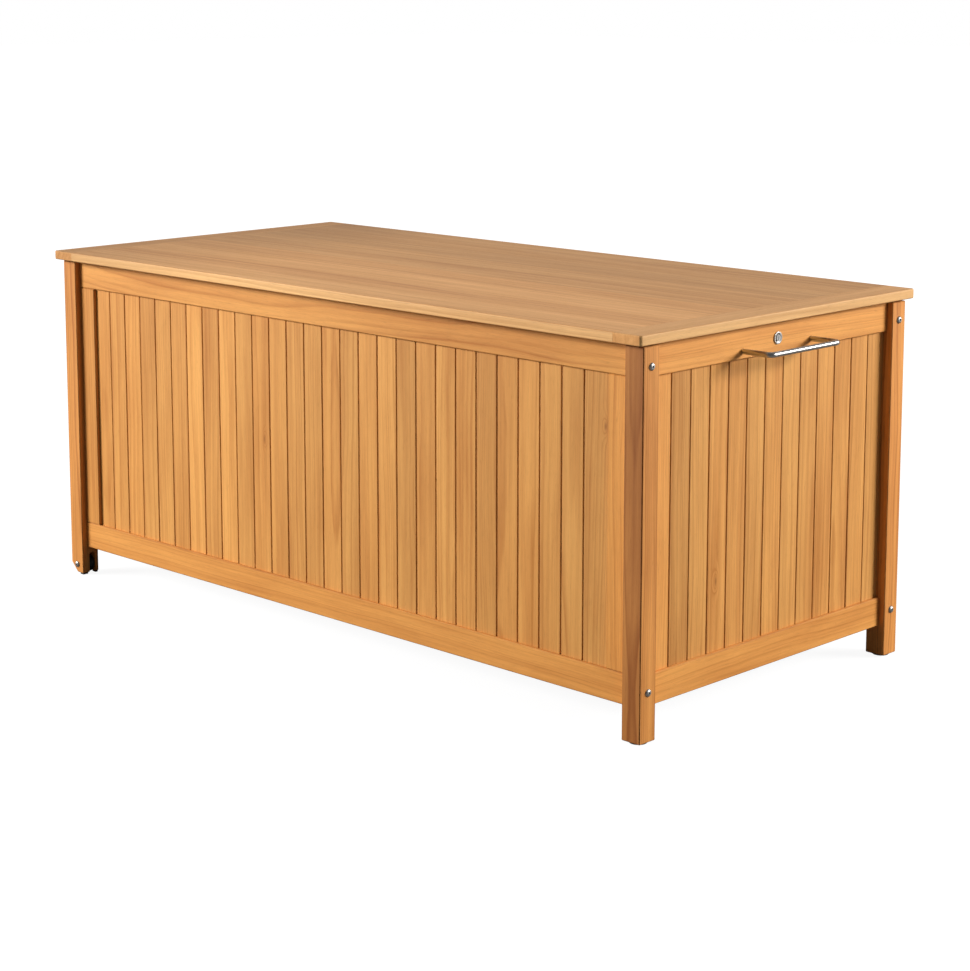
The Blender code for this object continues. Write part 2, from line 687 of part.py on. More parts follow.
def build_hinges(base, lid):
    """Two butt hinges; their leaves lie in the gap between the rear rail and the lid."""
    frame_z = FRAME_TOP + GAP - HINGE_AXIS.z
    lid_z = HINGE_KNUCKLE_RADIUS - HINGE_LEAF
    knuckle_back = -HINGE_KNUCKLE_RADIUS - GAP
    for side_name, side in (("left", -1), ("right", 1)):
        x = side * HINGE_X
        name = f"hinge_{side_name}"
        at_axis = Vector((x, 0, 0))

        outlines = hinge_leaf_outlines((frame_z, frame_z + HINGE_LEAF))
        place = HINGE_AXIS + at_axis
        leaf = add_plate(f"{name}_frame_leaf", outlines, HINGE_WIDTH, place, ZINC, base, YZ_PLANE)
        leaf = meshed(leaf)
        half = HINGE_KNUCKLE / 2 + GAP / 2
        low = place + Vector((-half, knuckle_back, -HINGE_CUT))
        high = place + Vector((half, HINGE_CUT, HINGE_CUT))
        cut(leaf, add_box(f"{name}_middle_gap", low, high, None, base, ease=0))

        outlines = hinge_leaf_outlines((lid_z, lid_z + HINGE_LEAF))
        leaf = add_plate(f"{name}_lid_leaf", outlines, HINGE_WIDTH, at_axis, ZINC, lid, YZ_PLANE)
        leaf = meshed(leaf)
        half = HINGE_KNUCKLE / 2 - GAP / 2
        for end_name, end in (("low", -1), ("high", 1)):
            xs = sorted((end * half, end * (HINGE_WIDTH / 2 + OVERCUT)))
            low = at_axis + Vector((xs[0], knuckle_back, -HINGE_CUT))
            high = at_axis + Vector((xs[1], HINGE_CUT, HINGE_CUT))
            cut(leaf, add_box(f"{name}_{end_name}_gap", low, high, None, lid, ease=0))

        reach = HINGE_WIDTH / 2 + HINGE_PIN_PROUD
        start, end = place - Vector((reach, 0, 0)), place + Vector((reach, 0, 0))
        add_rod(f"{name}_pin", start, end, HINGE_PIN_RADIUS, base, 20, STEEL)


def strut_points():
    """Where a strut's studs are, about the hinge axis: on the post and under the closed lid."""
    post_y = STRUT_POST_STUD_Y - HINGE_AXIS.y
    post_stud = Vector((0, post_y, -math.sqrt(STRUT_ARM**2 - post_y**2)))
    lid_z = LID_UNDERSIDE - STRUT_LID_STUD_DROP - HINGE_AXIS.z
    lid_stud = Vector((0, -math.sqrt(STRUT_ARM**2 - lid_z**2), lid_z))
    return post_stud, lid_stud


def build_struts(base, lid):
    post_stud, lid_stud = strut_points()
    length = (lid_stud - post_stud).length
    along = lid_stud - post_stud
    tilt = (math.atan2(-along.y, along.z), 0, 0)
    half_eye = STRUT_EYE_WIDTH / 2
    for side_name, side in (("left", -1), ("right", 1)):
        x = side * (HALF_LENGTH - STRUT_INSET)
        name = f"strut_{side_name}"
        pivot = HINGE_AXIS + post_stud + Vector((x, 0, 0))
        axis = add_empty(f"{name}_axis", pivot, base)
        axis.rotation_euler = tilt

        bore_end = STRUT_ROD_START - OVERCUT
        profile = [
            (0, bore_end),
            (STRUT_BORE_RADIUS, bore_end),
            (STRUT_BORE_RADIUS, STRUT_BARREL_END),
            (STRUT_BARREL_RADIUS - STRUT_CRIMP, STRUT_BARREL_END),
            (STRUT_BARREL_RADIUS, STRUT_BARREL_END - STRUT_CRIMP),
            (STRUT_BARREL_RADIUS, STRUT_BARREL_START),
            (STRUT_ROD_RADIUS, STRUT_BARREL_START - 2 * STRUT_CRIMP),
            (STRUT_ROD_RADIUS, 0),
            (0, 0),
        ]
        barrel = add_turned(f"{name}_barrel", profile, (0, 0, 0), (0, 0, 0), STRUT_PAINT, axis, 16)
        eye = add_rod(
            f"{name}_barrel_eye", (-half_eye, 0, 0), (half_eye, 0, 0), STRUT_EYE_RADIUS, axis, 16
        )
        join(barrel, eye)
        bore = STRUT_STUD_RADIUS + GAP
        reach = half_eye + OVERCUT
        hole = add_rod(f"{name}_eye_hole", (-reach, 0, 0), (reach, 0, 0), bore, axis, 16)
        cut(barrel, hole)

        rod = add_rod(
            f"{name}_rod", (0, 0, STRUT_ROD_START), (0, 0, length), STRUT_ROD_RADIUS, axis, 16, STEEL
        )
        eye = add_rod(
            f"{name}_rod_eye", (-half_eye, 0, length), (half_eye, 0, length), STRUT_EYE_RADIUS, axis, 16
        )
        join(rod, eye)

        build_post_bracket(name, side, pivot, base)
        build_lid_bracket(name, side, x, lid_stud, lid)


def build_post_bracket(name, side, pivot, base):
    """An angle on the rear stile's inner face; its stud carries the barrel's eye."""
    sheet = STRUT_BRACKET
    inner = abs(pivot.x) + STRUT_BARREL_RADIUS + STUD_SLACK
    flange_end = inner - POST_BRACKET_FLANGE
    front = pivot.y - POST_BRACKET_FRONT
    back = HALF_DEPTH - RAIL_RECESS - RAIL_THICKNESS - GAP
    outline = [
        (inner, front),
        (inner + sheet, front),
        (inner + sheet, back),
        (flange_end, back),
        (flange_end, back - sheet),
        (inner, back - sheet),
    ]
    outline = [(side * px, py) for px, py in outline]
    place = (0, 0, pivot.z)
    bracket = add_plate(f"{name}_post_bracket", [outline], POST_BRACKET_HEIGHT, place, ZINC, base)
    bracket = meshed(bracket)
    inboard = abs(pivot.x) - STRUT_EYE_WIDTH / 2 - 2 * STUD_SLACK
    start = (side * (inner + sheet / 2), pivot.y, pivot.z)
    end = (side * inboard, pivot.y, pivot.z)
    join(bracket, add_rod(f"{name}_post_stud", start, end, STRUT_STUD_RADIUS, base, 16))


def build_lid_bracket(name, side, x, lid_stud, lid):
    """An angle under the lid; its stub ends just clear of the rod's eye, the strut's open pivot."""
    sheet = STRUT_BRACKET
    eye_face = abs(x) + STRUT_EYE_WIDTH / 2
    face = eye_face + LID_BRACKET_STANDOFF
    flange_end = face - LID_BRACKET_FLANGE
    top = LID_UNDERSIDE - GAP - HINGE_AXIS.z
    bottom = lid_stud.z - LID_BRACKET_DROP
    outline = [
        (face, bottom),
        (face + sheet, bottom),
        (face + sheet, top),
        (flange_end, top),
        (flange_end, top - sheet),
        (face, top - sheet),
    ]
    outline = [(side * px, pz) for px, pz in outline]
    turn = (math.radians(90), 0, 0)
    place = (0, lid_stud.y, 0)
    bracket = add_plate(f"{name}_lid_bracket", [outline], LID_BRACKET_LENGTH, place, ZINC, lid, turn)
    bracket = meshed(bracket)
    start = (side * (face + sheet / 2), lid_stud.y, lid_stud.z)
    end = (side * (eye_face + STUD_SLACK), lid_stud.y, lid_stud.z)
    join(bracket, add_rod(f"{name}_lid_stud", start, end, STRUT_STUD_RADIUS, lid, 16))


def shade_round_pieces():
    for obj in PARTS.objects:
        if obj.type == "MESH":
            obj.data.shade_smooth()
            obj.data.set_sharp_from_angle(angle=math.radians(35))


def main():
    base = add_empty("box_frame", (BASE_SHIFT_X, 0, 0))
    lid = add_empty("lid_hinge_axis", HINGE_AXIS, base)
    build_posts(base)
    build_long_side("front", -1, base)
    build_long_side("rear", 1, base)
    build_end("left_end", -1, base)
    build_end("right_end", 1, base)
    build_floor(base)
    build_bolts(base)
    build_handle(base)
    build_wheels(base)
    build_lid(lid)
    build_hinges(base, lid)
    build_struts(base, lid)
    build_lock(base, lid)
    shade_round_pieces()


main()
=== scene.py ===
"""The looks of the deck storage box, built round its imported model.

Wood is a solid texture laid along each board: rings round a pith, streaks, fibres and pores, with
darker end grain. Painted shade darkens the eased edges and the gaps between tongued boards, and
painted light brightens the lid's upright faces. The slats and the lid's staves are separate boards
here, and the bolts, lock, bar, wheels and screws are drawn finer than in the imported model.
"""
import math

import bmesh
import bpy
import numpy as np
from mathutils import Matrix, Vector


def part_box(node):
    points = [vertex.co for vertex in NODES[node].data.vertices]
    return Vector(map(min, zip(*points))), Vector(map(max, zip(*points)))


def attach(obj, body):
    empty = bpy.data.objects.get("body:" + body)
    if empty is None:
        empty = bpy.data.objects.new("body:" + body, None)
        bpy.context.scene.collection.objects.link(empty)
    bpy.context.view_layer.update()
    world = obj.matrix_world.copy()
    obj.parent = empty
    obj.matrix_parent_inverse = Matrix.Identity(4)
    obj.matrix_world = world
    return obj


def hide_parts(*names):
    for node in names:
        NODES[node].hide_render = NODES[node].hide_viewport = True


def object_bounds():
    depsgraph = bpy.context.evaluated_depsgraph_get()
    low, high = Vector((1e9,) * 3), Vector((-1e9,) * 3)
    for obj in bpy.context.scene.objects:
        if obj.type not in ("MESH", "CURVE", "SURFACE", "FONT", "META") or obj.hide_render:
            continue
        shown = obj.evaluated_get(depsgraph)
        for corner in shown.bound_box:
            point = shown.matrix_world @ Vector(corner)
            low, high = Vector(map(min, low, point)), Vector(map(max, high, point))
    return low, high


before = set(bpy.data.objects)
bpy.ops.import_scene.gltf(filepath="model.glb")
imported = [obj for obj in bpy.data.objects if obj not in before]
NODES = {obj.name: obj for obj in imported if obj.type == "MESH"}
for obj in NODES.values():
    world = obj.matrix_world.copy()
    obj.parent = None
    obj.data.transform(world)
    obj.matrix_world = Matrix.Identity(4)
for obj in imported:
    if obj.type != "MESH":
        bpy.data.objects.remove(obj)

CAD_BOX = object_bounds()
CHANCE = np.random.RandomState(11)

# Camera and lights: metres, degrees, watts
CAMERA_PLACE = (3.098, -3.112, 1.263)
CAMERA_TURN = 44.53
CAMERA_DROP = 8.86
CAMERA_LENS = 84.3
CAMERA_SHIFT = (0.0065, -0.165)
LIGHT_DISTANCE = 8.0
LIGHT_SIZE = (3.6, 2.0)
LEFT_LIGHT = {"turn": -44, "height": 18, "power": 880}
RIGHT_LIGHT = {"turn": 131, "height": 18, "power": 810}
SKY = {"level": 0.06, "zenith": 0.16, "behind": 0.48}
BEHIND = (-0.69, 0.70, 0.17)
OVERHEAD_EASE = (0.15, 1.0)
BEHIND_EASE = (0.45, 0.95)

# Stage: metres, and brightness from 0 to 1
WHITE = (1.0, 1.0, 1.0, 1.0)
STAGE_SIZE = 30.0
STAGE_DROP = 0.0002
STAGE_SHOWN = (0.16, 0.16, 0.16, 1.0)
STAGE_BOUNCE = (0.22, 0.22, 0.22, 1.0)
GLOW_NEAR, GLOW_FAR = 0.92, 1.0
GLOW_REACH = (1.5, 5.0)
# The shade under the box; its edges are where it is full and where it ends, in from the box's sides
UNDER_SHADE = 0.78
UNDER_EDGE_X = (0.36, 0.24)
UNDER_EDGE_Y = (0.225, 0.165)

# Wood pieces that this file makes, in metres
FRONT_SLATS = 28
END_SLATS = 13
FIRST_SLAT_WIDTH = 0.053
SLAT_PITCH = 0.05033
SLAT_REVEAL = 0.0018
SLAT_CHAMFER = 0.0009
SLAT_TONGUE_DEPTH = 0.0046
SLAT_TONGUE_REACH = 0.0040
SLAT_GROOVE_ROOM = 0.0003
SLAT_GROOVE_SLACK = 0.0002
SLAT_CROWN = 0.0003
SLAT_CROWN_STEPS = 6
SLAT_SETTLE = 0.0004
FLOOR_BOARDS = 4
STAVES = 9
STAVE_GAP = 0.00015
LID_ROUNDING = 0.0025
LID_CORNER = 0.006

# Tones of the boards, 1 being the material's own colour, and how red they are, from 0 to 1
POST_TONE = {"left": 1.00, "right": 1.12}
STILE_TONE = {"left": 0.82, "right": 1.10}
RAIL_TONE = {"top": 1.02, "bottom": 1.06}
END_RAIL_LIFT = 1.06
FLOOR_TONE = 1.0
BEARER_TONE = 0.9
SLAT_TONES = (0.93, 1.07)
STAVE_TONE = 1.20
STAVE_TONE_STEP = 0.045
LID_END_TONE = {"left": 0.82, "right": 1.08}
LID_END_RED = {"left": 0.25, "right": 0.0}
USUAL_RED = 0.1
SLAT_RED = 0.05
TONE_SPREAD = (0.94, 1.06)
RED_SPREAD = (-0.12, 0.22)

# Knots: metres; how much a distance along the grain counts; and what is left of the swirl round a
# knot, and of its core, at KNOT_RADIUS from its middle
KNOT_RADIUS = 0.0032
KNOT_DEPTH = 0.002
KNOT_STRETCH = 0.38
KNOT_SWIRL = 0.80
KNOT_CORE = 0.22
KNOT_COLOUR = (0.22, 0.080, 0.018)
NO_KNOT = (0.0, 0.0, -9.0)
SLATS_WITH_KNOTS = (
    "front_slat_28", "front_slat_11", "right_end_slat_04", "rear_slat_09", "left_end_slat_06",
)

# Wood grain: how many of each mark go to a metre, along, across and through a board
WIDE_WANDER = (1.1, 5.0, 5.0)
FINE_WANDER = (6.0, 30.0, 30.0)
STREAKS = (1.6, 85.0, 85.0)
PATCHES_ACROSS = 14.0
FIBRES = (16.0, 900.0, 900.0)
PORES = (55.0, 1500.0, 1500.0)
# The next closeness makes the reach of the painted shade on eased edges ragged
EDGE_SHADE_MARKS = (25.0, 120.0, 120.0)
SEASONS = (45.0, 1.0, 1.0)

# Wood grain: how strong each mark is. Every REACH is in metres, and so are GRAIN_HEIGHT and
# LOG_SPREAD, which is how far along its log a board may lie.
LOG_SPREAD = 20
WIDE_WANDER_REACH = (0.0, 0.040, 0.040)
FINE_WANDER_REACH = (0.0, 0.0030, 0.0030)
SEASON_SWING = 4.0
SWIRL_SWING = 3.2
RING_SHAPE = [(0.0, 0.0), (0.45, 0.15), (0.86, 1.0), (1.0, 0.0)]
FAINTEST_RING = 0.15
STREAK_SHADE = 1.3
SWIRL_SHADE = 0.25
BASE_SHADE = 0.26
FIBRE_SHADE = (0.90, 1.08)
PORE_SHADE = 0.16
# The next reach is how far in from a board's eased edges the painted shade goes
EDGE_SHADE_REACH = (0.0014, 0.0032)
# The next reach is the depth below a tongued board's face over which painted gap shade sets in
GAP_SHADE_REACH = (0.0016, 0.0042)
GRAIN_HEIGHT = 0.0004

# Wood: colours that its colour is multiplied by, and the stretch of x where the left end darkens
REDDENING = (0.98, 0.80, 0.62)
HEARTWOOD = (0.66, 0.60, 0.56)
# The next tint is painted shade: it darkens a tongued board's tongue and groove in the gaps between
# boards
GAP_SHADE_TINT = (0.36, 0.21, 0.09)
NO_TINT = (1, 1, 1)
LEFT_FADE = (-0.78, -0.30)
WOOD_SHEEN = 0.25

# Metal, rubber and plastic: marks to the metre, and a colour
METAL_CLOUD = (45.0, 45.0, 45.0)
DUST_PATCHES = (70.0, 70.0, 70.0)
DUST = (0.16, 0.15, 0.14)

# Hardware that this file makes, in metres. SEAT is how far its parts stand off what they sit on, and
# a list of SPOTS holds shares of a length.
SEAT = 0.0001
BUTTON_HEAD = [(0.0, 0.00675), (0.0009, 0.00665), (0.0020, 0.0059), (0.0030, 0.0046), (0.0035, 0.0031)]
SOCKET_APOTHEM = 0.0020
SOCKET_TAPER = 0.97
SOCKET_DEPTH = 0.0022
BOLT_SHANK_RADIUS = 0.003
BOLT_LENGTH = 0.070
SCREW_HEAD = 0.0036
SCREW_RISE = 0.0006
SCREW_LENGTH = 0.0060
RECESS_FLOOR = 0.00003
HINGE_LEAF = 0.0012
FRAME_LEAF_LIFT = 0.0003
LID_LEAF_DROP = 0.0004
HINGE_SCREW_RISE = 0.00022
HINGE_SCREW_SPOTS = (0.17, 0.5, 0.83)
FRAME_SCREW_INSET = 0.009
LID_SCREW_INSET = 0.020
BRACKET_SHEET = 0.0025
POST_BRACKET_SCREWS = ((0.008, 0.006), (0.020, -0.006))
LID_BRACKET_SCREW_INSET = 0.008
LID_BRACKET_SCREWS = (-0.012, 0.012)
STRIKE_SCREW_HEAD = 0.0030
STRIKE_SCREW_INSET = 0.009
STRIKE_SCREWS = (-0.0045, 0.0045)
FLOOR_SCREW_HEAD = 0.0042
FLOOR_SCREW_RISE = 0.0005
FLOOR_SCREW_SPOTS = (0.22, 0.78)
BAR_ROUNDING = 0.00012
BAR_BEND = 0.009
BAR_ROOT = 0.004
LOCK_BORE = 0.00625
LOCK_BARREL = 0.009
LOCK_NUT_GAP = 0.0002
WHEEL_BORE = 0.0044
AXLE_RADIUS = 0.004
AXLE_HEAD_AND_NUT = 0.0035
GLIDE_WHEEL_INSET = 0.0020
GLIDE_POST_INSET = 0.0012
GLIDE_ROUNDING = 0.0005
BUMPER_SLACK = 0.0005

X, Y, Z = Vector((1, 0, 0)), Vector((0, 1, 0)), Vector((0, 0, 1))


# Material tools

class Paint:
    """Short calls for building one material's nodes round its Principled shader."""

    def __init__(self, name):
        self.material = bpy.data.materials.new(name)
        self.material.use_nodes = True
        self.tree = self.material.node_tree
        self.shader = self.tree.nodes["Principled BSDF"]

    def put(self, socket, value):
        if isinstance(value, bpy.types.NodeSocket):
            self.tree.links.new(value, socket)
        else:
            socket.default_value = value

    def node(self, kind, *values, **settings):
        node = self.tree.nodes.new("ShaderNode" + kind)
        for name, value in settings.items():
            setattr(node, name, value)
        for socket, value in zip(node.inputs, values):
            if value is not None:
                self.put(socket, value)
        return node

    def math(self, operation, a, b=None, c=None, clamp=False):
        return self.node("Math", a, b, c, operation=operation, use_clamp=clamp).outputs[0]

    def vector(self, operation, a, b=None):
        node = self.node("VectorMath", a, b, operation=operation)
        return node.outputs["Value" if operation in ("LENGTH", "DOT_PRODUCT") else "Vector"]

    def split(self, vector):
        return self.node("SeparateXYZ", vector).outputs

    def join(self, x, y, z):
        return self.node("CombineXYZ", x, y, z).outputs[0]

    def noise(self, vector, stretch, detail=2.0, roughness=0.5, output="Fac"):
        """Noise whose grains are 1 / stretch metres long on each axis."""
        node = self.node("TexNoise", self.vector("MULTIPLY", vector, stretch))
        node.inputs["Scale"].default_value = 1.0
        node.inputs["Detail"].default_value = detail
        node.inputs["Roughness"].default_value = roughness
        return node.outputs[output]

    def span(self, value, low, high, to_low=0.0, to_high=1.0, smooth=True):
        kind = "SMOOTHSTEP" if smooth else "LINEAR"
        node = self.node("MapRange", value, low, high, to_low, to_high, interpolation_type=kind)
        return node.outputs[0]

    def curve(self, value, stops):
        """A value looked up between (place, height) stops."""
        node = self.node("ValToRGB", value)
        elements = node.color_ramp.elements
        while len(elements) < len(stops):
            elements.new(0.5)
        for element, (place, height) in zip(elements, stops):
            element.position = place
            element.color = (height, height, height, 1.0)
        return node.outputs["Color"]

    def mix(self, factor, a, b, blend="MIX"):
        node = self.node("Mix", data_type="RGBA", blend_type=blend)
        node.clamp_result = False
        for name, value in (("Factor_Float", factor), ("A_Color", a), ("B_Color", b)):
            socket = next(s for s in node.inputs if s.identifier == name)
            if isinstance(value, tuple):
                value = (*value, 1.0)
            self.put(socket, value)
        return next(s for s in node.outputs if s.identifier == "Result_Color")

    def tint(self, factor, colour, by):
        """The colour, multiplied by another one as far as factor says."""
        return self.mix(factor, colour, self.mix(1.0, colour, by, "MULTIPLY"))

    def own(self, name, output="Vector"):
        """A value that each object carries for itself."""
        node = self.node("Attribute", attribute_type="OBJECT", attribute_name=name)
        return node.outputs[output]

    def place(self, output="Object"):
        return self.node("TexCoord").outputs[output]

    def bump(self, height, strength, distance):
        node = self.node("Bump")
        node.inputs["Strength"].default_value = strength
        node.inputs["Distance"].default_value = distance
        self.put(node.inputs["Height"], height)
        self.put(self.shader.inputs["Normal"], node.outputs[0])

    def finish(self, colour, roughness, metallic=0.0, specular=0.5):
        inputs = self.shader.inputs
        if isinstance(colour, tuple):
            colour = (*colour, 1.0)
        self.put(inputs["Base Color"], colour)
        self.put(inputs["Roughness"], roughness)
        inputs["Metallic"].default_value = metallic
        inputs["Specular IOR Level"].default_value = specular
        return self.material


def wander(paint, log):
    """The log's own space with its fibres drifting from side to side, widely and finely."""
    bent = log
    for closeness, reach in ((WIDE_WANDER, WIDE_WANDER_REACH), (FINE_WANDER, FINE_WANDER_REACH)):
        drift = paint.noise(log, closeness, 2.0, 0.5, "Color")
        drift = paint.vector("SUBTRACT", drift, (0.5, 0.5, 0.5))
        bent = paint.vector("ADD", bent, paint.vector("MULTIPLY", drift, reach))
    return bent


def near_knot(paint, place, axis):
    """How near a point is to the board's knot: within the swirl round it, and within its core."""
    stretch = [KNOT_STRETCH if name == axis else 1.0 for name in "XYZ"]
    away = paint.vector("MULTIPLY", paint.vector("SUBTRACT", place, paint.own("knot")), stretch)
    away = paint.math("DIVIDE", paint.vector("LENGTH", away), KNOT_RADIUS)
    square = paint.math("MULTIPLY", away, away)
    return paint.math("POWER", KNOT_SWIRL, square), paint.math("POWER", KNOT_CORE, square)


def annual_rings(paint, bent, ring, swirl):
    """Rings round the pith, pale and then dark in each year, and stronger in some years."""
    radius = paint.vector("LENGTH", paint.vector("MULTIPLY", bent, (0.0, 1.0, 1.0)))
    years = paint.math("DIVIDE", radius, ring)
    seasons = paint.noise(paint.join(radius, 0.0, 0.0), SEASONS, 2.0)
    years = paint.math("MULTIPLY_ADD", seasons, SEASON_SWING, years)
    years = paint.math("MULTIPLY_ADD", swirl, SWIRL_SWING, years)
    strength = paint.node("TexWhiteNoise", noise_dimensions="1D")
    paint.put(strength.inputs["W"], paint.math("FLOOR", years))
    strength = paint.span(strength.outputs["Value"], 0.0, 1.0, FAINTEST_RING, 1.0)
    return paint.math("MULTIPLY", paint.curve(paint.math("FRACT", years), RING_SHAPE), strength)


def board_tone(paint, colour, place, fibres, pores, left):
    """The board's own brightness and redness, with its fibres and pores. Also returns how strongly
    painted shade darkens the board's eased edges."""
    bright, red, edge_shade_share = paint.split(paint.own("tone"))
    if left != 1.0:
        toward_left = paint.span(paint.split(place)[0], *LEFT_FADE, left, 1.0)
        bright = paint.math("MULTIPLY", bright, toward_left)
    colour = paint.tint(red, colour, REDDENING)
    fine = paint.span(fibres, 0.2, 0.8, *FIBRE_SHADE, smooth=False)
    fine = paint.math("SUBTRACT", fine, paint.math("MULTIPLY", pores, PORE_SHADE))
    fine = paint.math("MULTIPLY", fine, bright)
    return paint.mix(1.0, colour, paint.join(fine, fine, fine), "MULTIPLY"), edge_shade_share


def edge_shade_mask(paint, inset, log):
    """Painted shade on the board's eased edges: 1 on the edges, fading inwards. inset is how far in a
    point is from the nearer face on each axis; the least is 0 on a face, and the next least is how far
    off its nearest edge is."""
    a, b, c = paint.split(inset)
    least = paint.math("MINIMUM", paint.math("MINIMUM", a, b), c)
    most = paint.math("MAXIMUM", paint.math("MAXIMUM", a, b), c)
    total = paint.math("ADD", paint.math("ADD", a, b), c)
    to_edge = paint.math("SUBTRACT", paint.math("SUBTRACT", total, least), most)
    reach = paint.span(paint.noise(log, EDGE_SHADE_MARKS, 2.0), 0.3, 0.7, *EDGE_SHADE_REACH)
    return paint.math("SUBTRACT", 1.0, paint.math("DIVIDE", to_edge, reach), clamp=True)


def wood(name, axis, pale, dark, ring=0.0055, figure=0.55, cloud=(1.5, 2.6), edge=0.70, end=0.62,
         rim=NO_TINT, left=1.0):
    """Sawn hardwood with its grain along one axis. ring is the ring spacing, figure how much the
    rings show, cloud the strength and closeness of broad patches, edge how bright the painted shade
    leaves eased edges, and end how bright end grain is, next to the faces. rim is painted light that
    brightens and pales the upright faces, and left is how bright the box's left end is next to its
    middle."""
    paint = Paint(name)
    place = paint.place()
    normal = paint.place("Normal")
    x, y, z = paint.split(paint.vector("SUBTRACT", place, paint.own("grain_origin")))
    log = paint.join(*{"X": (x, y, z), "Y": (y, z, x), "Z": (z, x, y)}[axis])
    bent = wander(paint, log)
    swirl, core = near_knot(paint, place, axis)
    rings = annual_rings(paint, bent, ring, swirl)
    streaks = paint.noise(bent, STREAKS, 5.0, 0.6)
    patches = paint.noise(bent, (cloud[1], PATCHES_ACROSS, PATCHES_ACROSS), 3.0)
    fibres = paint.noise(bent, FIBRES, 2.0)
    pores = paint.span(paint.noise(bent, PORES, 1.0), 0.60, 0.74)

    shade = paint.math("MULTIPLY", rings, figure)
    shade = paint.math("MULTIPLY_ADD", paint.math("SUBTRACT", streaks, 0.5), STREAK_SHADE, shade)
    shade = paint.math("MULTIPLY_ADD", paint.math("SUBTRACT", patches, 0.5), cloud[0], shade)
    shade = paint.math("MULTIPLY_ADD", swirl, SWIRL_SHADE, shade)
    shade = paint.math("ADD", shade, BASE_SHADE, clamp=True)
    colour = paint.mix(core, paint.mix(shade, pale, dark), KNOT_COLOUR)
    colour, edge_shade_share = board_tone(paint, colour, place, fibres, pores, left)

    heart = paint.span(paint.vector("DOT_PRODUCT", normal, paint.own("heart_face")), 0.25, 0.55)
    heart = paint.math("MULTIPLY", heart, paint.span(patches, 0.2, 0.6, 0.75, 1.0))
    colour = paint.tint(heart, colour, HEARTWOOD)
    # Painted light: upright faces come out brighter and paler than the top
    if rim != NO_TINT:
        painted_rim_light = paint.span(paint.math("ABSOLUTE", paint.split(normal)[2]), 0.30, 0.80, 1.0, 0.0)
        colour = paint.tint(painted_rim_light, colour, rim)
    facing = paint.split(normal)["XYZ".index(axis)]
    end_grain = paint.span(paint.math("ABSOLUTE", facing), 0.75, 0.95)
    colour = paint.tint(end_grain, colour, (end, end * 0.86, end * 0.72))

    inset = paint.vector("ABSOLUTE", paint.vector("SUBTRACT", place, paint.own("board_middle")))
    inset = paint.vector("SUBTRACT", paint.own("board_half"), inset)
    # Painted shade in the gaps between tongued boards, full deeper below the face
    painted_gap_shade = paint.span(paint.vector("DOT_PRODUCT", inset, paint.own("gap_shade_depth")), *GAP_SHADE_REACH)
    colour = paint.tint(painted_gap_shade, colour, GAP_SHADE_TINT)
    # Painted shade on the eased edges: darker and redder the lower edge is
    painted_edge_shade = paint.math("MULTIPLY", edge_shade_mask(paint, inset, log), edge_shade_share)
    colour = paint.tint(painted_edge_shade, colour, (edge, edge * 0.94, edge * 0.86))

    gloss = paint.math("MULTIPLY_ADD", streaks, 0.16, 0.46)
    gloss = paint.math("MULTIPLY_ADD", pores, 0.14, gloss)
    gloss = paint.math("MULTIPLY_ADD", end_grain, 0.16, gloss)
    height = paint.math("MULTIPLY_ADD", fibres, 0.55, paint.math("MULTIPLY", rings, 0.30))
    height = paint.math("MULTIPLY_ADD", pores, -0.6, height)
    paint.bump(height, 0.30, GRAIN_HEIGHT)
    return paint.finish(colour, gloss, specular=WOOD_SHEEN)


def metal(name, colour, roughness, brushing=(60.0, 2200.0, 2200.0), stain=0.10):
    """Metal with fine marks along one axis, cloudy patches and slightly uneven gloss."""
    paint = Paint(name)
    place = paint.place()
    marks = paint.noise(place, brushing, 3.0, 0.6)
    cloud = paint.noise(place, METAL_CLOUD, 3.0)
    shade = paint.span(cloud, 0.3, 0.7, 1.0 - stain, 1.0)
    shade = paint.math("MULTIPLY", shade, paint.span(marks, 0.2, 0.8, 0.93, 1.05, smooth=False))
    tinted = paint.mix(1.0, colour, paint.join(shade, shade, shade), "MULTIPLY")
    gloss = paint.math("MULTIPLY_ADD", paint.math("SUBTRACT", marks, 0.5), 0.22, roughness)
    gloss = paint.math("MULTIPLY_ADD", cloud, 0.10, gloss)
    paint.bump(marks, 0.12, 0.00005)
    return paint.finish(tinted, gloss, metallic=1.0)


def moulded(name, colour, roughness, grain=900.0, dust=0.25):
    """Moulded plastic, rubber or paint: a fine pebbled surface with a little pale dust."""
    paint = Paint(name)
    place = paint.place()
    pebbles = paint.noise(place, (grain, grain, grain), 2.0)
    patches = paint.noise(place, DUST_PATCHES, 4.0, 0.6)
    dusty = paint.span(patches, 0.50, 0.75, 0.0, dust)
    tinted = paint.mix(dusty, colour, DUST)
    gloss = paint.math("MULTIPLY_ADD", pebbles, 0.12, roughness)
    gloss = paint.math("MULTIPLY_ADD", dusty, 0.4, gloss)
    paint.bump(pebbles, 0.35, 0.0001)
    return paint.finish(tinted, gloss)


# Painted light on the lid's upright faces, brighter and paler than its top
LID_RIM_LIGHT = (1.09, 1.18, 1.21)
HONEY, TAN = (0.720, 0.345, 0.088), (0.470, 0.178, 0.032)
GOLD, AMBER = (0.740, 0.335, 0.078), (0.480, 0.172, 0.028)
RUST, UMBER = (0.660, 0.280, 0.066), (0.380, 0.125, 0.020)
SAND, CLAY = (0.680, 0.364, 0.140), (0.430, 0.192, 0.060)
DEAL, STRAW = (0.620, 0.330, 0.110), (0.430, 0.190, 0.055)

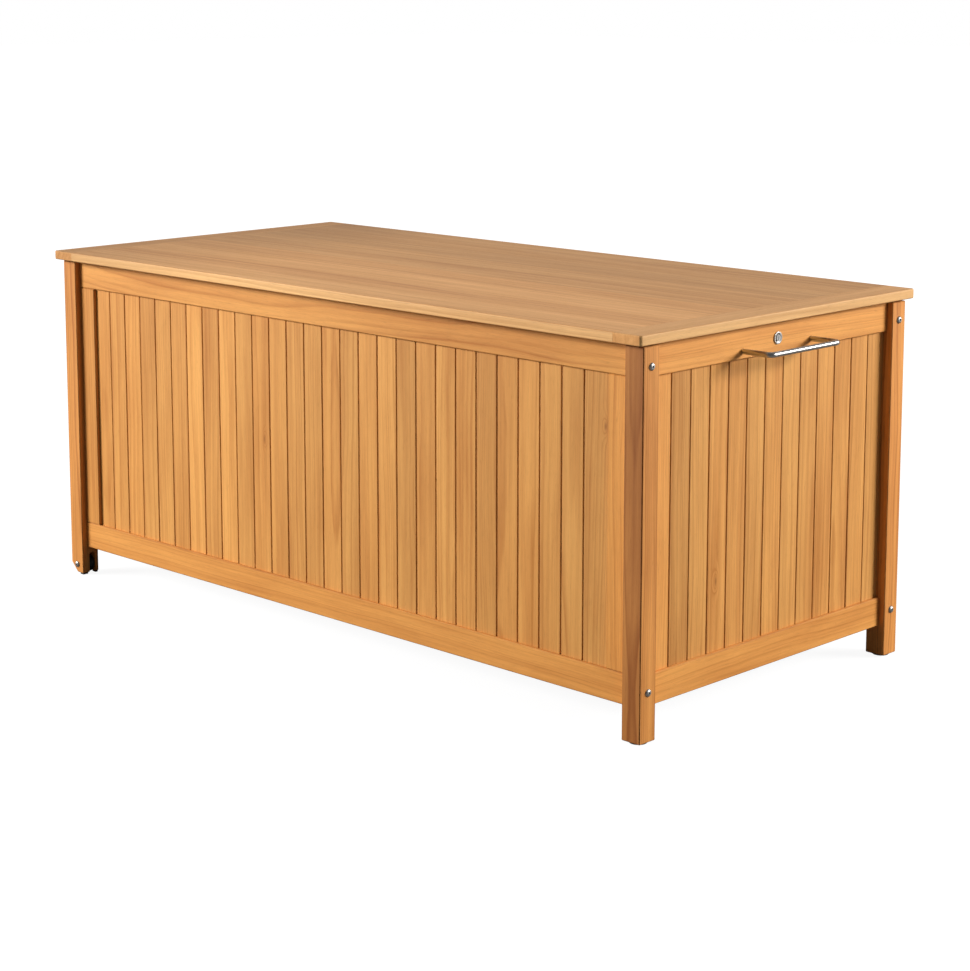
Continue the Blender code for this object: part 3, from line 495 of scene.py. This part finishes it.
# edge sets how dark the painted shade on each wood's eased edges is
SLAT = wood("slat_wood", "Z", HONEY, TAN, edge=0.60)
STILE = wood("stile_wood", "Z", GOLD, AMBER)
POST = wood("post_wood", "Z", RUST, UMBER, ring=0.0045, figure=0.75, edge=0.55)
RAIL_LONG = wood("rail_wood_long", "X", GOLD, AMBER, ring=0.006, figure=0.5)
RAIL_END = wood("rail_wood_end", "Y", GOLD, AMBER, ring=0.006, figure=0.4)
LID_STAVE = wood("lid_wood_long", "X", SAND, CLAY, ring=0.008, figure=0.36, cloud=(0.9, 1.1), end=0.9,
                 rim=LID_RIM_LIGHT, left=0.80)
LID_END = wood("lid_wood_end", "Y", SAND, CLAY, ring=0.007, figure=0.36, cloud=(0.9, 2.2), end=0.97,
               rim=LID_RIM_LIGHT)
FLOOR_LONG = wood("floor_wood_long", "X", DEAL, STRAW, ring=0.006)
FLOOR_CROSS = wood("floor_wood_cross", "Y", DEAL, STRAW, ring=0.006)
STEEL = metal("stainless_steel", (0.42, 0.41, 0.39), 0.40)
BAR_STEEL = metal("bar_steel", (0.46, 0.45, 0.43), 0.25, brushing=(2500.0, 90.0, 2500.0), stain=0.05)
ZINC = metal("zinc_plate", (0.56, 0.56, 0.54), 0.32, brushing=(200.0, 200.0, 900.0), stain=0.12)
BLACK = moulded("black_plastic", (0.018, 0.018, 0.019), 0.50)
RUBBER = moulded("wheel_rubber", (0.014, 0.014, 0.014), 0.62, grain=600.0, dust=0.35)
PAINTED = moulded("strut_paint", (0.012, 0.012, 0.013), 0.26, grain=350.0, dust=0.08)


# Shape tools

def corners(obj):
    points = np.array([v.co for v in obj.data.vertices], float)
    return Vector(points.min(0)), Vector(points.max(0))


def lay_grain(obj, axis, tone=1.0, red=0.0, pith=(0.03, 0.16), edge_shade_share=1.0, heart=(0, 0, 0),
              joint=(0, 0, 0)):
    """Gives a board its own place in a log and its own tone; pith is how far off the rings' centre
    may be, in metres, and heart the side that shows darker heartwood. For a tongued board, the last
    argument is the direction in which painted shade darkens it below its faces, in the gaps between
    boards."""
    low, high = corners(obj)
    middle = (low + high) / 2
    turn = CHANCE.uniform(0, 2 * math.pi)
    distance = CHANCE.uniform(*pith)
    aside = Vector((0, distance * math.cos(turn), distance * math.sin(turn)))
    shift = Vector((CHANCE.uniform(-LOG_SPREAD, LOG_SPREAD), 0, 0)) + aside
    order = {"X": (0, 1, 2), "Y": (2, 0, 1), "Z": (1, 2, 0)}[axis]
    shift = Vector([shift[i] for i in order])
    obj["grain_origin"] = list(middle + shift)
    obj["board_middle"] = list(middle)
    obj["board_half"] = list((high - low) / 2)
    tone *= CHANCE.uniform(*TONE_SPREAD)
    red = min(max(red + CHANCE.uniform(*RED_SPREAD), 0.0), 1.0)
    # Brightness, redness, and how strongly painted shade darkens the eased edges
    obj["tone"] = [tone, red, edge_shade_share]
    obj["heart_face"] = [float(v) for v in heart]
    obj["gap_shade_depth"] = [abs(float(v)) for v in joint]
    obj["knot"] = list(NO_KNOT)


def new_piece(name, bm, material, body="box", replaces=(), smooth_deg=40):
    """Turns a finished bmesh, in the model's own frame, into a piece that rides on a body."""
    bmesh.ops.recalc_face_normals(bm, faces=bm.faces)
    mesh = bpy.data.meshes.new(name)
    bm.to_mesh(mesh)
    bm.free()
    mesh.shade_smooth()
    mesh.set_sharp_from_angle(angle=math.radians(smooth_deg))
    obj = bpy.data.objects.new(name, mesh)
    bpy.context.scene.collection.objects.link(obj)
    mesh.materials.append(material)
    even = obj.modifiers.new("even_normals", "WEIGHTED_NORMAL")
    even.keep_sharp = True
    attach(obj, body)
    if replaces:
        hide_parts(*replaces)
    return obj


def block(low, high):
    """A rectangular block between two corners."""
    low, high = Vector(low), Vector(high)
    bm = bmesh.new()
    bmesh.ops.create_cube(bm, size=1.0)
    bmesh.ops.scale(bm, vec=high - low, verts=bm.verts)
    bmesh.ops.translate(bm, vec=(low + high) / 2, verts=bm.verts)
    return bm


def close(a, b):
    return abs(a - b) < 1e-5


def round_edges(bm, chosen, radius, segments=3):
    """Rounds the edges for which chosen(middle, direction) is true."""
    edges = []
    for edge in bm.edges:
        a, b = (v.co for v in edge.verts)
        if chosen((a + b) / 2, (b - a).normalized()):
            edges.append(edge)
    bmesh.ops.bevel(bm, geom=edges, offset=radius, segments=segments, profile=0.5, affect="EDGES")


def skin(bm, rings, hollow=False):
    """Joins each ring of points to the next, and closes the ends unless it is hollow."""
    steps = len(rings[0])
    for ring, following in zip(rings, rings[1:] + rings[:1] if hollow else rings[1:]):
        for i in range(steps):
            j = (i + 1) % steps
            bm.faces.new((ring[i], ring[j], following[j], following[i]))
    if not hollow:
        bm.faces.new(rings[0])
        bm.faces.new(rings[-1])
    return bm


def turned(profile, place, axis, steps=32, bm=None, hollow=False):
    """A solid turned round an axis through place; profile is (radius, height) from end to end.
    A radius may be a function of the angle, for a socket or a nut. A hollow one is a tube: its
    profile ends where it starts."""
    bm = bm or bmesh.new()
    turn = Z.rotation_difference(Vector(axis)).to_matrix().to_4x4()
    matrix = Matrix.Translation(place) @ turn
    rings = []
    for radius, height in profile:
        ring = []
        for i in range(steps):
            angle = 2 * math.pi * i / steps
            reach = radius(angle) if callable(radius) else radius
            point = Vector((reach * math.cos(angle), reach * math.sin(angle), height))
            ring.append(bm.verts.new(matrix @ point))
        rings.append(ring)
    return skin(bm, rings, hollow)


def hexagon(apothem):
    def radius(angle):
        return apothem / math.cos(angle % (math.pi / 3) - math.pi / 6)
    return radius


def cross_recess(reach, waist):
    """Outline of a cross-head screw's recess, as a radius for each angle."""
    def radius(angle):
        off = abs((angle + math.pi / 4) % (math.pi / 2) - math.pi / 4)
        return max(min(reach, waist / max(math.sin(off), 0.001)), waist * 1.35)
    return radius


def arc(centre, radius, start_deg, end_deg, count):
    steps = np.radians(np.linspace(start_deg, end_deg, count + 1))
    return [(centre[0] + radius * math.cos(a), centre[1] + radius * math.sin(a)) for a in steps]


def swept(points, radius, sides=28):
    """A round bar along points that lie in one level plane."""
    bm = bmesh.new()
    points = [Vector(p) for p in points]
    rings = []
    for i, point in enumerate(points):
        before = points[max(i - 1, 0)]
        after = points[min(i + 1, len(points) - 1)]
        side = (after - before).normalized().cross(Z)
        ring = []
        for k in range(sides):
            angle = 2 * math.pi * k / sides
            out = side * math.cos(angle) + Z * math.sin(angle)
            ring.append(bm.verts.new(point + radius * out))
        rings.append(ring)
    return skin(bm, rings)


# Wood

def paint_node(name, material, axis, tone, **grain):
    """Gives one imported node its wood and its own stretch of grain."""
    NODES[name].material_slots[0].material = material
    lay_grain(NODES[name], axis, tone, **grain)


def paint_nodes():
    """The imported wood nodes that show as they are."""
    for side in ("left", "right"):
        for row in ("front", "rear"):
            front_right = side == "right" and row == "front"
            heart = (0, -1, 0) if front_right else (0, 0, 0)
            paint_node(f"post_{row}_{side}", POST, "Z", POST_TONE[side], red=USUAL_RED, pith=(0.04, 0.10),
                       heart=heart)
            paint_node(f"{row}_{side}_stile", STILE, "Z", STILE_TONE[side], red=USUAL_RED)
    for level, tone in RAIL_TONE.items():
        for row in ("front", "rear"):
            paint_node(f"{row}_{level}_rail", RAIL_LONG, "X", tone)
        for side in ("left", "right"):
            paint_node(f"{side}_end_{level}_rail", RAIL_END, "Y", tone * END_RAIL_LIFT)
    for i in range(FLOOR_BOARDS):
        paint_node(f"floor_board_{i + 1}", FLOOR_LONG, "X", FLOOR_TONE)
    for side in ("left", "right"):
        paint_node(f"floor_bearer_{side}", FLOOR_CROSS, "Y", BEARER_TONE)


def slat_plan(start, end, thickness, has_groove, has_tongue):
    """Plan of one slat, its face at depth 0: eased edges, a slight crown, a tongue on the right that
    runs behind the next slat's edge, and a groove on the left for the tongue before it."""
    middle, half = (start + end) / 2, (end - start) / 2 - SLAT_CHAMFER
    points = []
    for i in range(SLAT_CROWN_STEPS + 1):
        t = -1 + i / (SLAT_CROWN_STEPS / 2)
        points.append((middle + t * half, SLAT_CROWN * t * t))
    points.append((end, SLAT_CHAMFER + SLAT_CROWN))
    if has_tongue:
        out = end + SLAT_REVEAL + SLAT_TONGUE_REACH
        points += [(end, SLAT_TONGUE_DEPTH), (out, SLAT_TONGUE_DEPTH)]
        points += [(out, thickness - SLAT_TONGUE_DEPTH), (end, thickness - SLAT_TONGUE_DEPTH)]
    points += [(end, thickness - SLAT_CHAMFER), (end - SLAT_CHAMFER, thickness)]
    points += [(start + SLAT_CHAMFER, thickness), (start, thickness - SLAT_CHAMFER)]
    if has_groove:
        inner = start + SLAT_TONGUE_REACH + SLAT_GROOVE_ROOM
        near = SLAT_TONGUE_DEPTH - SLAT_GROOVE_SLACK
        far = thickness - SLAT_TONGUE_DEPTH + SLAT_GROOVE_SLACK
        points += [(start, far), (inner, far), (inner, near), (start, near)]
    points.append((start, SLAT_CHAMFER + SLAT_CROWN))
    return points


def build_wall(name, count, origin, run, inward):
    """One slatted wall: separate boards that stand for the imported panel. origin is the panel's outer
    face at its first end, run points along the wall and inward into the box."""
    node = f"{name}_slats"
    low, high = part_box(node)
    thickness = (high - low).dot(Vector([abs(c) for c in inward]))
    length = (high - low).dot(Vector([abs(c) for c in run]))
    edges = [0.0] + [FIRST_SLAT_WIDTH + i * SLAT_PITCH for i in range(count - 1)] + [length]
    for i in range(count):
        start = edges[i] + (SLAT_REVEAL / 2 if i else 0)
        end = edges[i + 1] - (SLAT_REVEAL / 2 if i < count - 1 else 0)
        plan = slat_plan(start, end, thickness, i > 0, i < count - 1)
        settle = CHANCE.uniform(0, SLAT_SETTLE)
        bm = bmesh.new()
        ring = [bm.verts.new(origin + run * u + inward * (v + settle) + Z * low.z) for u, v in plan]
        face = bm.faces.new(ring)
        top = bmesh.ops.extrude_face_region(bm, geom=[face])
        lifted = [g for g in top["geom"] if isinstance(g, bmesh.types.BMVert)]
        bmesh.ops.translate(bm, vec=Z * (high.z - low.z), verts=lifted)
        slat = new_piece(f"{name}_slat_{i + 1:02d}", bm, SLAT, "box", [node], 25)
        # inward is the way painted shade in the gaps darkens each slat below its face
        lay_grain(slat, "Z", CHANCE.uniform(*SLAT_TONES), red=SLAT_RED, joint=inward)
        height = low.z + (high.z - low.z) * CHANCE.uniform(0.15, 0.85)
        aside = start + (end - start) * CHANCE.uniform(0.25, 0.75)
        if slat.name in SLATS_WITH_KNOTS:
            slat["knot"] = list(origin + run * aside + inward * KNOT_DEPTH + Z * height)


def build_walls():
    low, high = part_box("front_slats")
    build_wall("front", FRONT_SLATS, Vector((low.x, low.y, 0)), X, Y)
    low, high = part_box("rear_slats")
    build_wall("rear", FRONT_SLATS, Vector((high.x, high.y, 0)), -X, -Y)
    low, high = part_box("right_end_slats")
    build_wall("right_end", END_SLATS, Vector((high.x, low.y, 0)), Y, -X)
    low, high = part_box("left_end_slats")
    build_wall("left_end", END_SLATS, Vector((low.x, high.y, 0)), -Y, X)


def build_staves():
    """Lengthwise staves glued edge to edge; the outer two have rounded outer edges."""
    low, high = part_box("lid_panel")
    width = (high.y - low.y) / STAVES
    last = STAVES - 1
    for i in range(STAVES):
        y0 = low.y + i * width + (STAVE_GAP / 2 if i else 0)
        y1 = low.y + (i + 1) * width - (STAVE_GAP / 2 if i < last else 0)
        bm = block((low.x, y0, low.z), (high.x, y1, high.z))
        if i in (0, last):
            outer = y0 if i == 0 else y1
            round_edges(bm, lambda m, d: abs(d.x) > 0.9 and close(m.y, outer), LID_ROUNDING, 4)
        stave = new_piece(f"lid_stave_{i + 1}", bm, LID_STAVE, "lid", ["lid_panel"])
        lay_grain(stave, "X", STAVE_TONE - STAVE_TONE_STEP * i, red=USUAL_RED, edge_shade_share=0.0)


def build_lid_ends():
    """The cross-grained boards that close the staves' ends, with rounded corners and rims."""
    for side in ("left", "right"):
        node = f"lid_end_{side}"
        low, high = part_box(node)
        outer, inner = (low.x, high.x) if side == "left" else (high.x, low.x)
        bm = block(low, high)
        round_edges(bm, lambda m, d: abs(d.z) > 0.9 and close(m.x, outer), LID_CORNER, 6)

        def is_rim(m, d):
            level = abs(d.z) < 0.5 and (close(m.z, low.z) or close(m.z, high.z))
            return level and not close(m.x, inner)

        round_edges(bm, is_rim, LID_ROUNDING, 4)
        board = new_piece(f"lid_end_board_{side}", bm, LID_END, "lid", [node])
        lay_grain(board, "Y", LID_END_TONE[side], red=LID_END_RED[side], edge_shade_share=0.0)


# Metal, rubber and plastic

def paint_hardware():
    finishes = {
        "glide_": BLACK, "hinge_": ZINC, "lock_cam": ZINC, "lock_strike": ZINC, "lock_plug": STEEL,
        "_bracket": ZINC, "_barrel": PAINTED, "_rod": STEEL, "_pin": STEEL, "wheel_axle": STEEL,
    }
    for name, obj in NODES.items():
        for part, material in finishes.items():
            if part in name:
                obj.material_slots[0].material = material


def button_bolt(name, place, axis, shank, replaces=(), shank_radius=BOLT_SHANK_RADIUS):
    """A button-head bolt with a hexagon socket; place is where its head sits on the surface."""
    top = BUTTON_HEAD[-1][0]
    profile = [(shank_radius, -shank), (shank_radius, 0.0)]
    profile += [(radius, height) for height, radius in BUTTON_HEAD]
    profile += [(hexagon(SOCKET_APOTHEM), top - 0.0001)]
    profile += [(hexagon(SOCKET_APOTHEM * SOCKET_TAPER), top - SOCKET_DEPTH)]
    bm = turned(profile, place, axis, 48)
    return new_piece(name, bm, STEEL, "box", replaces, 38)


def build_bolts():
    """Bolts through the posts into the long rails, at both ends of the box."""
    left_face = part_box("post_front_left")[0].x
    for row in ("front", "rear"):
        for level in ("top", "bottom"):
            node = f"bolt_{row}_{level}"
            low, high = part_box(node)
            middle = (low + high) / 2
            seat = Vector((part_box(f"post_{row}_right")[1].x + SEAT, middle.y, middle.z))
            button_bolt(f"post_bolt_right_{row}_{level}", seat, X, BOLT_LENGTH, [node])
            seat = Vector((left_face - SEAT, middle.y, middle.z))
            button_bolt(f"post_bolt_left_{row}_{level}", seat, -X, BOLT_LENGTH)


def screws(name, places, axis, body, slot="zinc_plate", head=SCREW_HEAD, rise=SCREW_RISE, material=ZINC):
    """A set of alike screws with cross recesses, as one piece with a solid each. Their heads stand
    proud by rise, because the plates under them have no holes to sink them in."""
    bm = bmesh.new()
    shank = head * 0.45
    recess = cross_recess(head * 0.55, head * 0.13)
    small = cross_recess(head * 0.42, head * 0.10)
    profile = [
        (shank, -SCREW_LENGTH), (shank, -0.0022), (head * 0.96, -0.0001), (head, rise * 0.4),
        (head * 0.86, rise), (recess, rise), (small, RECESS_FLOOR),
    ]
    for place in places:
        turned(profile, Vector(place), axis, 32, bm)
    return new_piece(name, bm, material, body, (), 50)


def hinge_screws(side):
    """Three in each leaf, staggered so that the heads on facing leaves pass each other."""
    low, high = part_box(f"hinge_{side}_frame_leaf")
    xs = [low.x + (high.x - low.x) * t for t in HINGE_SCREW_SPOTS]
    looks = {"slot": "stainless_steel", "rise": HINGE_SCREW_RISE, "material": STEEL}
    leaf_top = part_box("rear_top_rail")[1].z + FRAME_LEAF_LIFT + HINGE_LEAF
    places = [(x, low.y + FRAME_SCREW_INSET, leaf_top) for x in xs]
    screws(f"hinge_{side}_frame_screws", places, Z, "box", **looks)
    leaf_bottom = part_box("lid_panel")[0].z - LID_LEAF_DROP - HINGE_LEAF
    places = [(x, low.y + LID_SCREW_INSET, leaf_bottom) for x in xs]
    screws(f"hinge_{side}_lid_screws", places, -Z, "lid", **looks)


def strut_screws(side):
    sign = 1 if side == "right" else -1
    low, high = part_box(f"strut_{side}_post_bracket")
    inboard = low.x if side == "right" else high.x
    y, z = high.y - BRACKET_SHEET, (low.z + high.z) / 2
    places = [(inboard + sign * dx, y, z + dz) for dx, dz in POST_BRACKET_SCREWS]
    screws(f"strut_{side}_post_screws", places, -Y, "box")
    low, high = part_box(f"strut_{side}_lid_bracket")
    inboard = low.x if side == "right" else high.x
    y, z = (low.y + high.y) / 2, high.z - BRACKET_SHEET
    places = [(inboard + sign * LID_BRACKET_SCREW_INSET, y + dy, z) for dy in LID_BRACKET_SCREWS]
    screws(f"strut_{side}_lid_screws", places, -Z, "lid")


def strike_screws():
    low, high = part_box("lock_strike")
    y, z = (low.y + high.y) / 2, high.z - BRACKET_SHEET
    places = [(low.x + STRIKE_SCREW_INSET, y + dy, z) for dy in STRIKE_SCREWS]
    screws("lock_strike_screws", places, -Z, "lid", head=STRIKE_SCREW_HEAD)


def floor_screws():
    """Two through each floor board into each bearer."""
    places = []
    for side in ("left", "right"):
        bearer_low, bearer_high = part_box(f"floor_bearer_{side}")
        for i in range(FLOOR_BOARDS):
            low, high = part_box(f"floor_board_{i + 1}")
            for t in FLOOR_SCREW_SPOTS:
                y = low.y + (high.y - low.y) * t
                places.append(((bearer_low.x + bearer_high.x) / 2, y, high.z))
    screws("floor_screws", places, Z, "box", "stainless_steel", FLOOR_SCREW_HEAD, FLOOR_SCREW_RISE, STEEL)


def build_screws():
    for side in ("left", "right"):
        hinge_screws(side)
        strut_screws(side)
    strike_screws()
    floor_screws()


def build_handle():
    """The polished bar, bent square at both ends, and the two screws that hold it from inside."""
    low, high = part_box("carry_handle")
    radius = (high.z - low.z) / 2 + BAR_ROUNDING
    z = (low.z + high.z) / 2
    half = (high.y - low.y) / 2 - radius
    middle_y = (low.y + high.y) / 2
    root, bar = low.x, high.x - radius
    plan = [(root, -half), (root + BAR_ROOT, -half)]
    plan += arc((bar - BAR_BEND, -half + BAR_BEND), BAR_BEND, -90, 0, 10)
    plan += arc((bar - BAR_BEND, half - BAR_BEND), BAR_BEND, 0, 90, 10)
    plan += [(root + BAR_ROOT, half), (root, half)]
    bm = swept([(px, middle_y + py, z) for px, py in plan], radius)
    new_piece("carry_bar", bm, BAR_STEEL, "box", ["carry_handle"], 50)

    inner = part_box("right_end_top_rail")[0].x
    profile = [
        (0.0090, 0.0), (0.0090, 0.0010), (0.0088, 0.0012), (0.0045, 0.0012), (0.0045, 0.0016),
        (0.0042, 0.0034), (0.0030, 0.0042), (cross_recess(0.0022, 0.0005), 0.0042),
        (cross_recess(0.0018, 0.0004), 0.0026),
    ]
    for row, sign in (("front", -1), ("rear", 1)):
        place = (inner - SEAT, middle_y + sign * half, z)
        bm = turned(profile, place, -X, 40)
        new_piece(f"carry_bar_screw_{row}", bm, STEEL, "box", (), 50)


def build_lock():
    """The lock's bezel, the washer and nut behind the rail, and the screw that holds the cam."""
    low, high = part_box("lock_housing")
    face = high.x
    centre_y, centre_z = (low.y + high.y) / 2, (low.z + high.z) / 2
    outer = (high.y - low.y) / 2
    rail_low, rail_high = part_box("right_end_top_rail")
    seat = rail_high.x + SEAT - face
    profile = [
        (LOCK_BORE, low.x - face), (LOCK_BARREL, low.x - face), (LOCK_BARREL, seat), (outer, seat),
        (outer, -0.0008), (outer - 0.0003, -0.0002), (outer - 0.0010, 0.0), (outer - 0.0026, 0.0),
        (outer - 0.0032, -0.0003), (outer - 0.0036, -0.0011), (LOCK_BORE + 0.0004, -0.0014),
        (LOCK_BORE, -0.0016),
    ]
    bm = turned(profile, (face, centre_y, centre_z), X, 64, hollow=True)
    new_piece("lock_bezel", bm, STEEL, "box", ["lock_housing"], 40)

    collar = LOCK_BARREL + 0.0001
    profile = [(collar, 0.0), (0.0145, 0.0), (0.0145, 0.0009), (hexagon(0.0120), 0.0010)]
    profile += [(hexagon(0.0120), 0.0036), (collar, 0.0036)]
    bm = turned(profile, (rail_low.x - LOCK_NUT_GAP, centre_y, centre_z), -X, 48)
    new_piece("lock_nut", bm, ZINC, "box", (), 30)

    profile = [
        (0.0044, 0.0), (0.0044, 0.0009), (0.0034, 0.0018), (cross_recess(0.0020, 0.0005), 0.0018),
        (cross_recess(0.0016, 0.0004), 0.0008),
    ]
    cam_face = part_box("lock_cam")[0].x
    bm = turned(profile, (cam_face - SEAT, centre_y, centre_z), -X, 40)
    new_piece("lock_cam_screw", bm, ZINC, "lock", (), 50)


def build_wheel(row):
    """A tilt wheel: a rounded rubber tyre with a tread groove, on a recessed hub."""
    node = f"wheel_{row}"
    low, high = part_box(node)
    radius = (high.z - low.z) / 2
    half = (high.y - low.y) / 2
    side = [
        (WHEEL_BORE, half * 0.7), (0.0075, half * 0.7), (0.0078, half * 0.55),
        (radius - 0.0065, half * 0.55), (radius - 0.0060, half - 0.0006), (radius - 0.0050, half),
        (radius - 0.0026, half), (radius - 0.0008, half - 0.0010), (radius, half - 0.0028),
        (radius, 0.0012), (radius - 0.0009, 0.0008),
    ]
    profile = [(reach, -height) for reach, height in side] + side[::-1]
    bm = turned(profile, (low + high) / 2, Y, 64)
    new_piece(f"tilt_wheel_{row}", bm, RUBBER, node, [node], 35)


def build_axle(row, sign):
    """The bolt that a tilt wheel spins on, and its nut at the leg's inner face."""
    wheel_low, wheel_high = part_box(f"wheel_{row}")
    middle = (wheel_low + wheel_high) / 2
    axle = f"wheel_axle_{row}"
    low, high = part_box(axle)
    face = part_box(f"post_{row}_left")[0 if sign < 0 else 1].y
    seat = Vector((middle.x, face + sign * SEAT, middle.z))
    length = (high.y - low.y) - AXLE_HEAD_AND_NUT
    button_bolt(f"axle_bolt_{row}", seat, Y * sign, length, [axle], AXLE_RADIUS)
    wide = hexagon(0.0058)
    profile = [(hexagon(0.0055), 0.0), (wide, 0.0006), (wide, 0.0044), (hexagon(0.0052), 0.0050)]
    bm = turned(profile, (middle.x, face - sign * length, middle.z), Y * sign, 48)
    new_piece(f"axle_nut_{row}", bm, STEEL, "box", (), 30)


def build_inner_glide(row, sign):
    """The thin glide under a wheel leg's inner cheek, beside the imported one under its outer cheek."""
    inner = 1 if sign < 0 else 0
    low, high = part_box(f"glide_{row}_left")
    wheel_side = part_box(f"wheel_{row}")[inner].y
    post_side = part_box(f"post_{row}_left")[inner].y
    y = sorted((wheel_side - sign * GLIDE_WHEEL_INSET, post_side + sign * GLIDE_POST_INSET))
    bm = block((low.x, y[0], low.z), (high.x, y[1], high.z))
    round_edges(bm, lambda m, d: True, GLIDE_ROUNDING, 2)
    new_piece(f"glide_{row}_left_inner", bm, BLACK, "box", (), 40)


def build_bumpers():
    """Rubber bumpers on the posts, under the lid."""
    post_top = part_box("post_front_left")[1].z
    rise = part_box("lid_panel")[0].z - post_top - BUMPER_SLACK
    profile = [
        (0.0060, 0.0), (0.0060, rise * 0.55), (0.0052, rise * 0.88), (0.0040, rise), (0.0020, rise),
    ]
    for side in ("left", "right"):
        for row in ("front", "rear"):
            low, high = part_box(f"post_{row}_{side}")
            middle = (low + high) / 2
            bm = turned(profile, (middle.x, middle.y, post_top + SEAT), Z, 32)
            new_piece(f"bumper_{row}_{side}", bm, BLACK, "box", (), 30)


# Stage

def build_stage():
    """A white floor that lights the box only faintly, and is darker under the middle of it, so that
    the gaps between the floor boards don't glow."""
    bm = bmesh.new()
    bmesh.ops.create_grid(bm, x_segments=1, y_segments=1, size=STAGE_SIZE)
    mesh = bpy.data.meshes.new("studio_floor")
    bm.to_mesh(mesh)
    bm.free()
    floor = bpy.data.objects.new("studio_floor", mesh)
    bpy.context.scene.collection.objects.link(floor)
    floor.location.z = -STAGE_DROP
    paint = Paint("studio_floor")
    nodes, links = paint.tree.nodes, paint.tree.links
    seen = paint.node("LightPath").outputs["Is Camera Ray"]
    spot = paint.place()
    far = paint.span(paint.vector("LENGTH", spot), *GLOW_REACH, GLOW_NEAR, GLOW_FAR)
    x, y, z = paint.split(paint.vector("ABSOLUTE", spot))
    within_x = paint.span(x, *[CAD_BOX[1].x - edge for edge in UNDER_EDGE_X], 1.0, 0.0)
    within_y = paint.span(y, *[CAD_BOX[1].y - edge for edge in UNDER_EDGE_Y], 1.0, 0.0)
    under = paint.math("MULTIPLY", within_x, within_y)
    glow = paint.node("Emission", WHITE, paint.math("MULTIPLY_ADD", under, -UNDER_SHADE, far))
    pale = paint.node("BsdfDiffuse", STAGE_SHOWN)
    shown = paint.node("AddShader", glow.outputs[0], pale.outputs[0])
    bounce = paint.node("BsdfDiffuse", STAGE_BOUNCE)
    mixed = paint.node("MixShader", seen, bounce.outputs[0], shown.outputs[0])
    links.new(mixed.outputs[0], nodes["Material Output"].inputs["Surface"])
    nodes.remove(paint.shader)
    mesh.materials.append(paint.material)


def build_world():
    """White behind the object, but a dim studio for its light: darker on the camera's side, brighter
    overhead and behind the box."""
    world = bpy.data.worlds.new("studio")
    bpy.context.scene.world = world
    world.use_nodes = True
    nodes, links = world.node_tree.nodes, world.node_tree.links

    def maths(operation, a, b, kind="ShaderNodeMath"):
        node = nodes.new(kind)
        node.operation = operation
        for socket, value in zip(node.inputs, (a, b)):
            if isinstance(value, bpy.types.NodeSocket):
                links.new(value, socket)
            else:
                socket.default_value = value
        return node

    def ease(value, low, high, top):
        node = nodes.new("ShaderNodeMapRange")
        node.interpolation_type = "SMOOTHSTEP"
        links.new(value, node.inputs["Value"])
        node.inputs["From Min"].default_value = low
        node.inputs["From Max"].default_value = high
        node.inputs["To Max"].default_value = top
        return node.outputs[0]

    way = nodes.new("ShaderNodeTexCoord").outputs["Generated"]
    up = nodes.new("ShaderNodeSeparateXYZ")
    links.new(way, up.inputs[0])
    overhead = ease(up.outputs["Z"], *OVERHEAD_EASE, SKY["zenith"])
    facing = maths("DOT_PRODUCT", way, BEHIND, "ShaderNodeVectorMath").outputs["Value"]
    behind = ease(facing, *BEHIND_EASE, SKY["behind"])
    total = maths("ADD", maths("ADD", overhead, behind).outputs[0], SKY["level"]).outputs[0]
    background = nodes["Background"]
    background.inputs["Color"].default_value = WHITE
    links.new(total, background.inputs["Strength"])
    white = nodes.new("ShaderNodeBackground")
    white.inputs["Color"].default_value = WHITE
    seen = nodes.new("ShaderNodeLightPath")
    mixed = nodes.new("ShaderNodeMixShader")
    links.new(seen.outputs["Is Camera Ray"], mixed.inputs[0])
    links.new(background.outputs[0], mixed.inputs[1])
    links.new(white.outputs[0], mixed.inputs[2])
    links.new(mixed.outputs[0], nodes["World Output"].inputs["Surface"])


def add_light(name, turn, height, power):
    """A soft box aimed at the middle of the box; turn is from -Y towards +X, height above level."""
    centre = (CAD_BOX[0] + CAD_BOX[1]) / 2
    a, e = math.radians(turn), math.radians(height)
    away = Vector((math.sin(a) * math.cos(e), -math.cos(a) * math.cos(e), math.sin(e)))
    light = bpy.data.lights.new(name, "AREA")
    light.shape = "RECTANGLE"
    light.size, light.size_y = LIGHT_SIZE
    light.energy = power
    lamp = bpy.data.objects.new(name, light)
    bpy.context.scene.collection.objects.link(lamp)
    lamp.location = centre + away * LIGHT_DISTANCE
    lamp.rotation_euler = away.to_track_quat("Z", "Y").to_euler()
    lamp.visible_camera = False


def build_camera():
    camera = bpy.data.cameras.new("camera")
    camera.lens = CAMERA_LENS
    camera.shift_x, camera.shift_y = CAMERA_SHIFT
    obj = bpy.data.objects.new("camera", camera)
    bpy.context.scene.collection.objects.link(obj)
    obj.location = CAMERA_PLACE
    obj.rotation_euler = (math.radians(90 - CAMERA_DROP), 0, math.radians(CAMERA_TURN))
    bpy.context.scene.camera = obj
    bpy.context.scene.view_settings.view_transform = "Standard"


build_camera()
build_stage()
build_world()
add_light("left_softbox", **LEFT_LIGHT)
add_light("right_softbox", **RIGHT_LIGHT)
paint_nodes()
paint_hardware()
build_walls()
build_staves()
build_lid_ends()
build_bolts()
build_screws()
build_handle()
build_lock()
for row, sign in (("front", -1), ("rear", 1)):
    build_wheel(row)
    build_axle(row, sign)
for row, sign in (("front", -1), ("rear", 1)):
    build_inner_glide(row, sign)
build_bumpers()
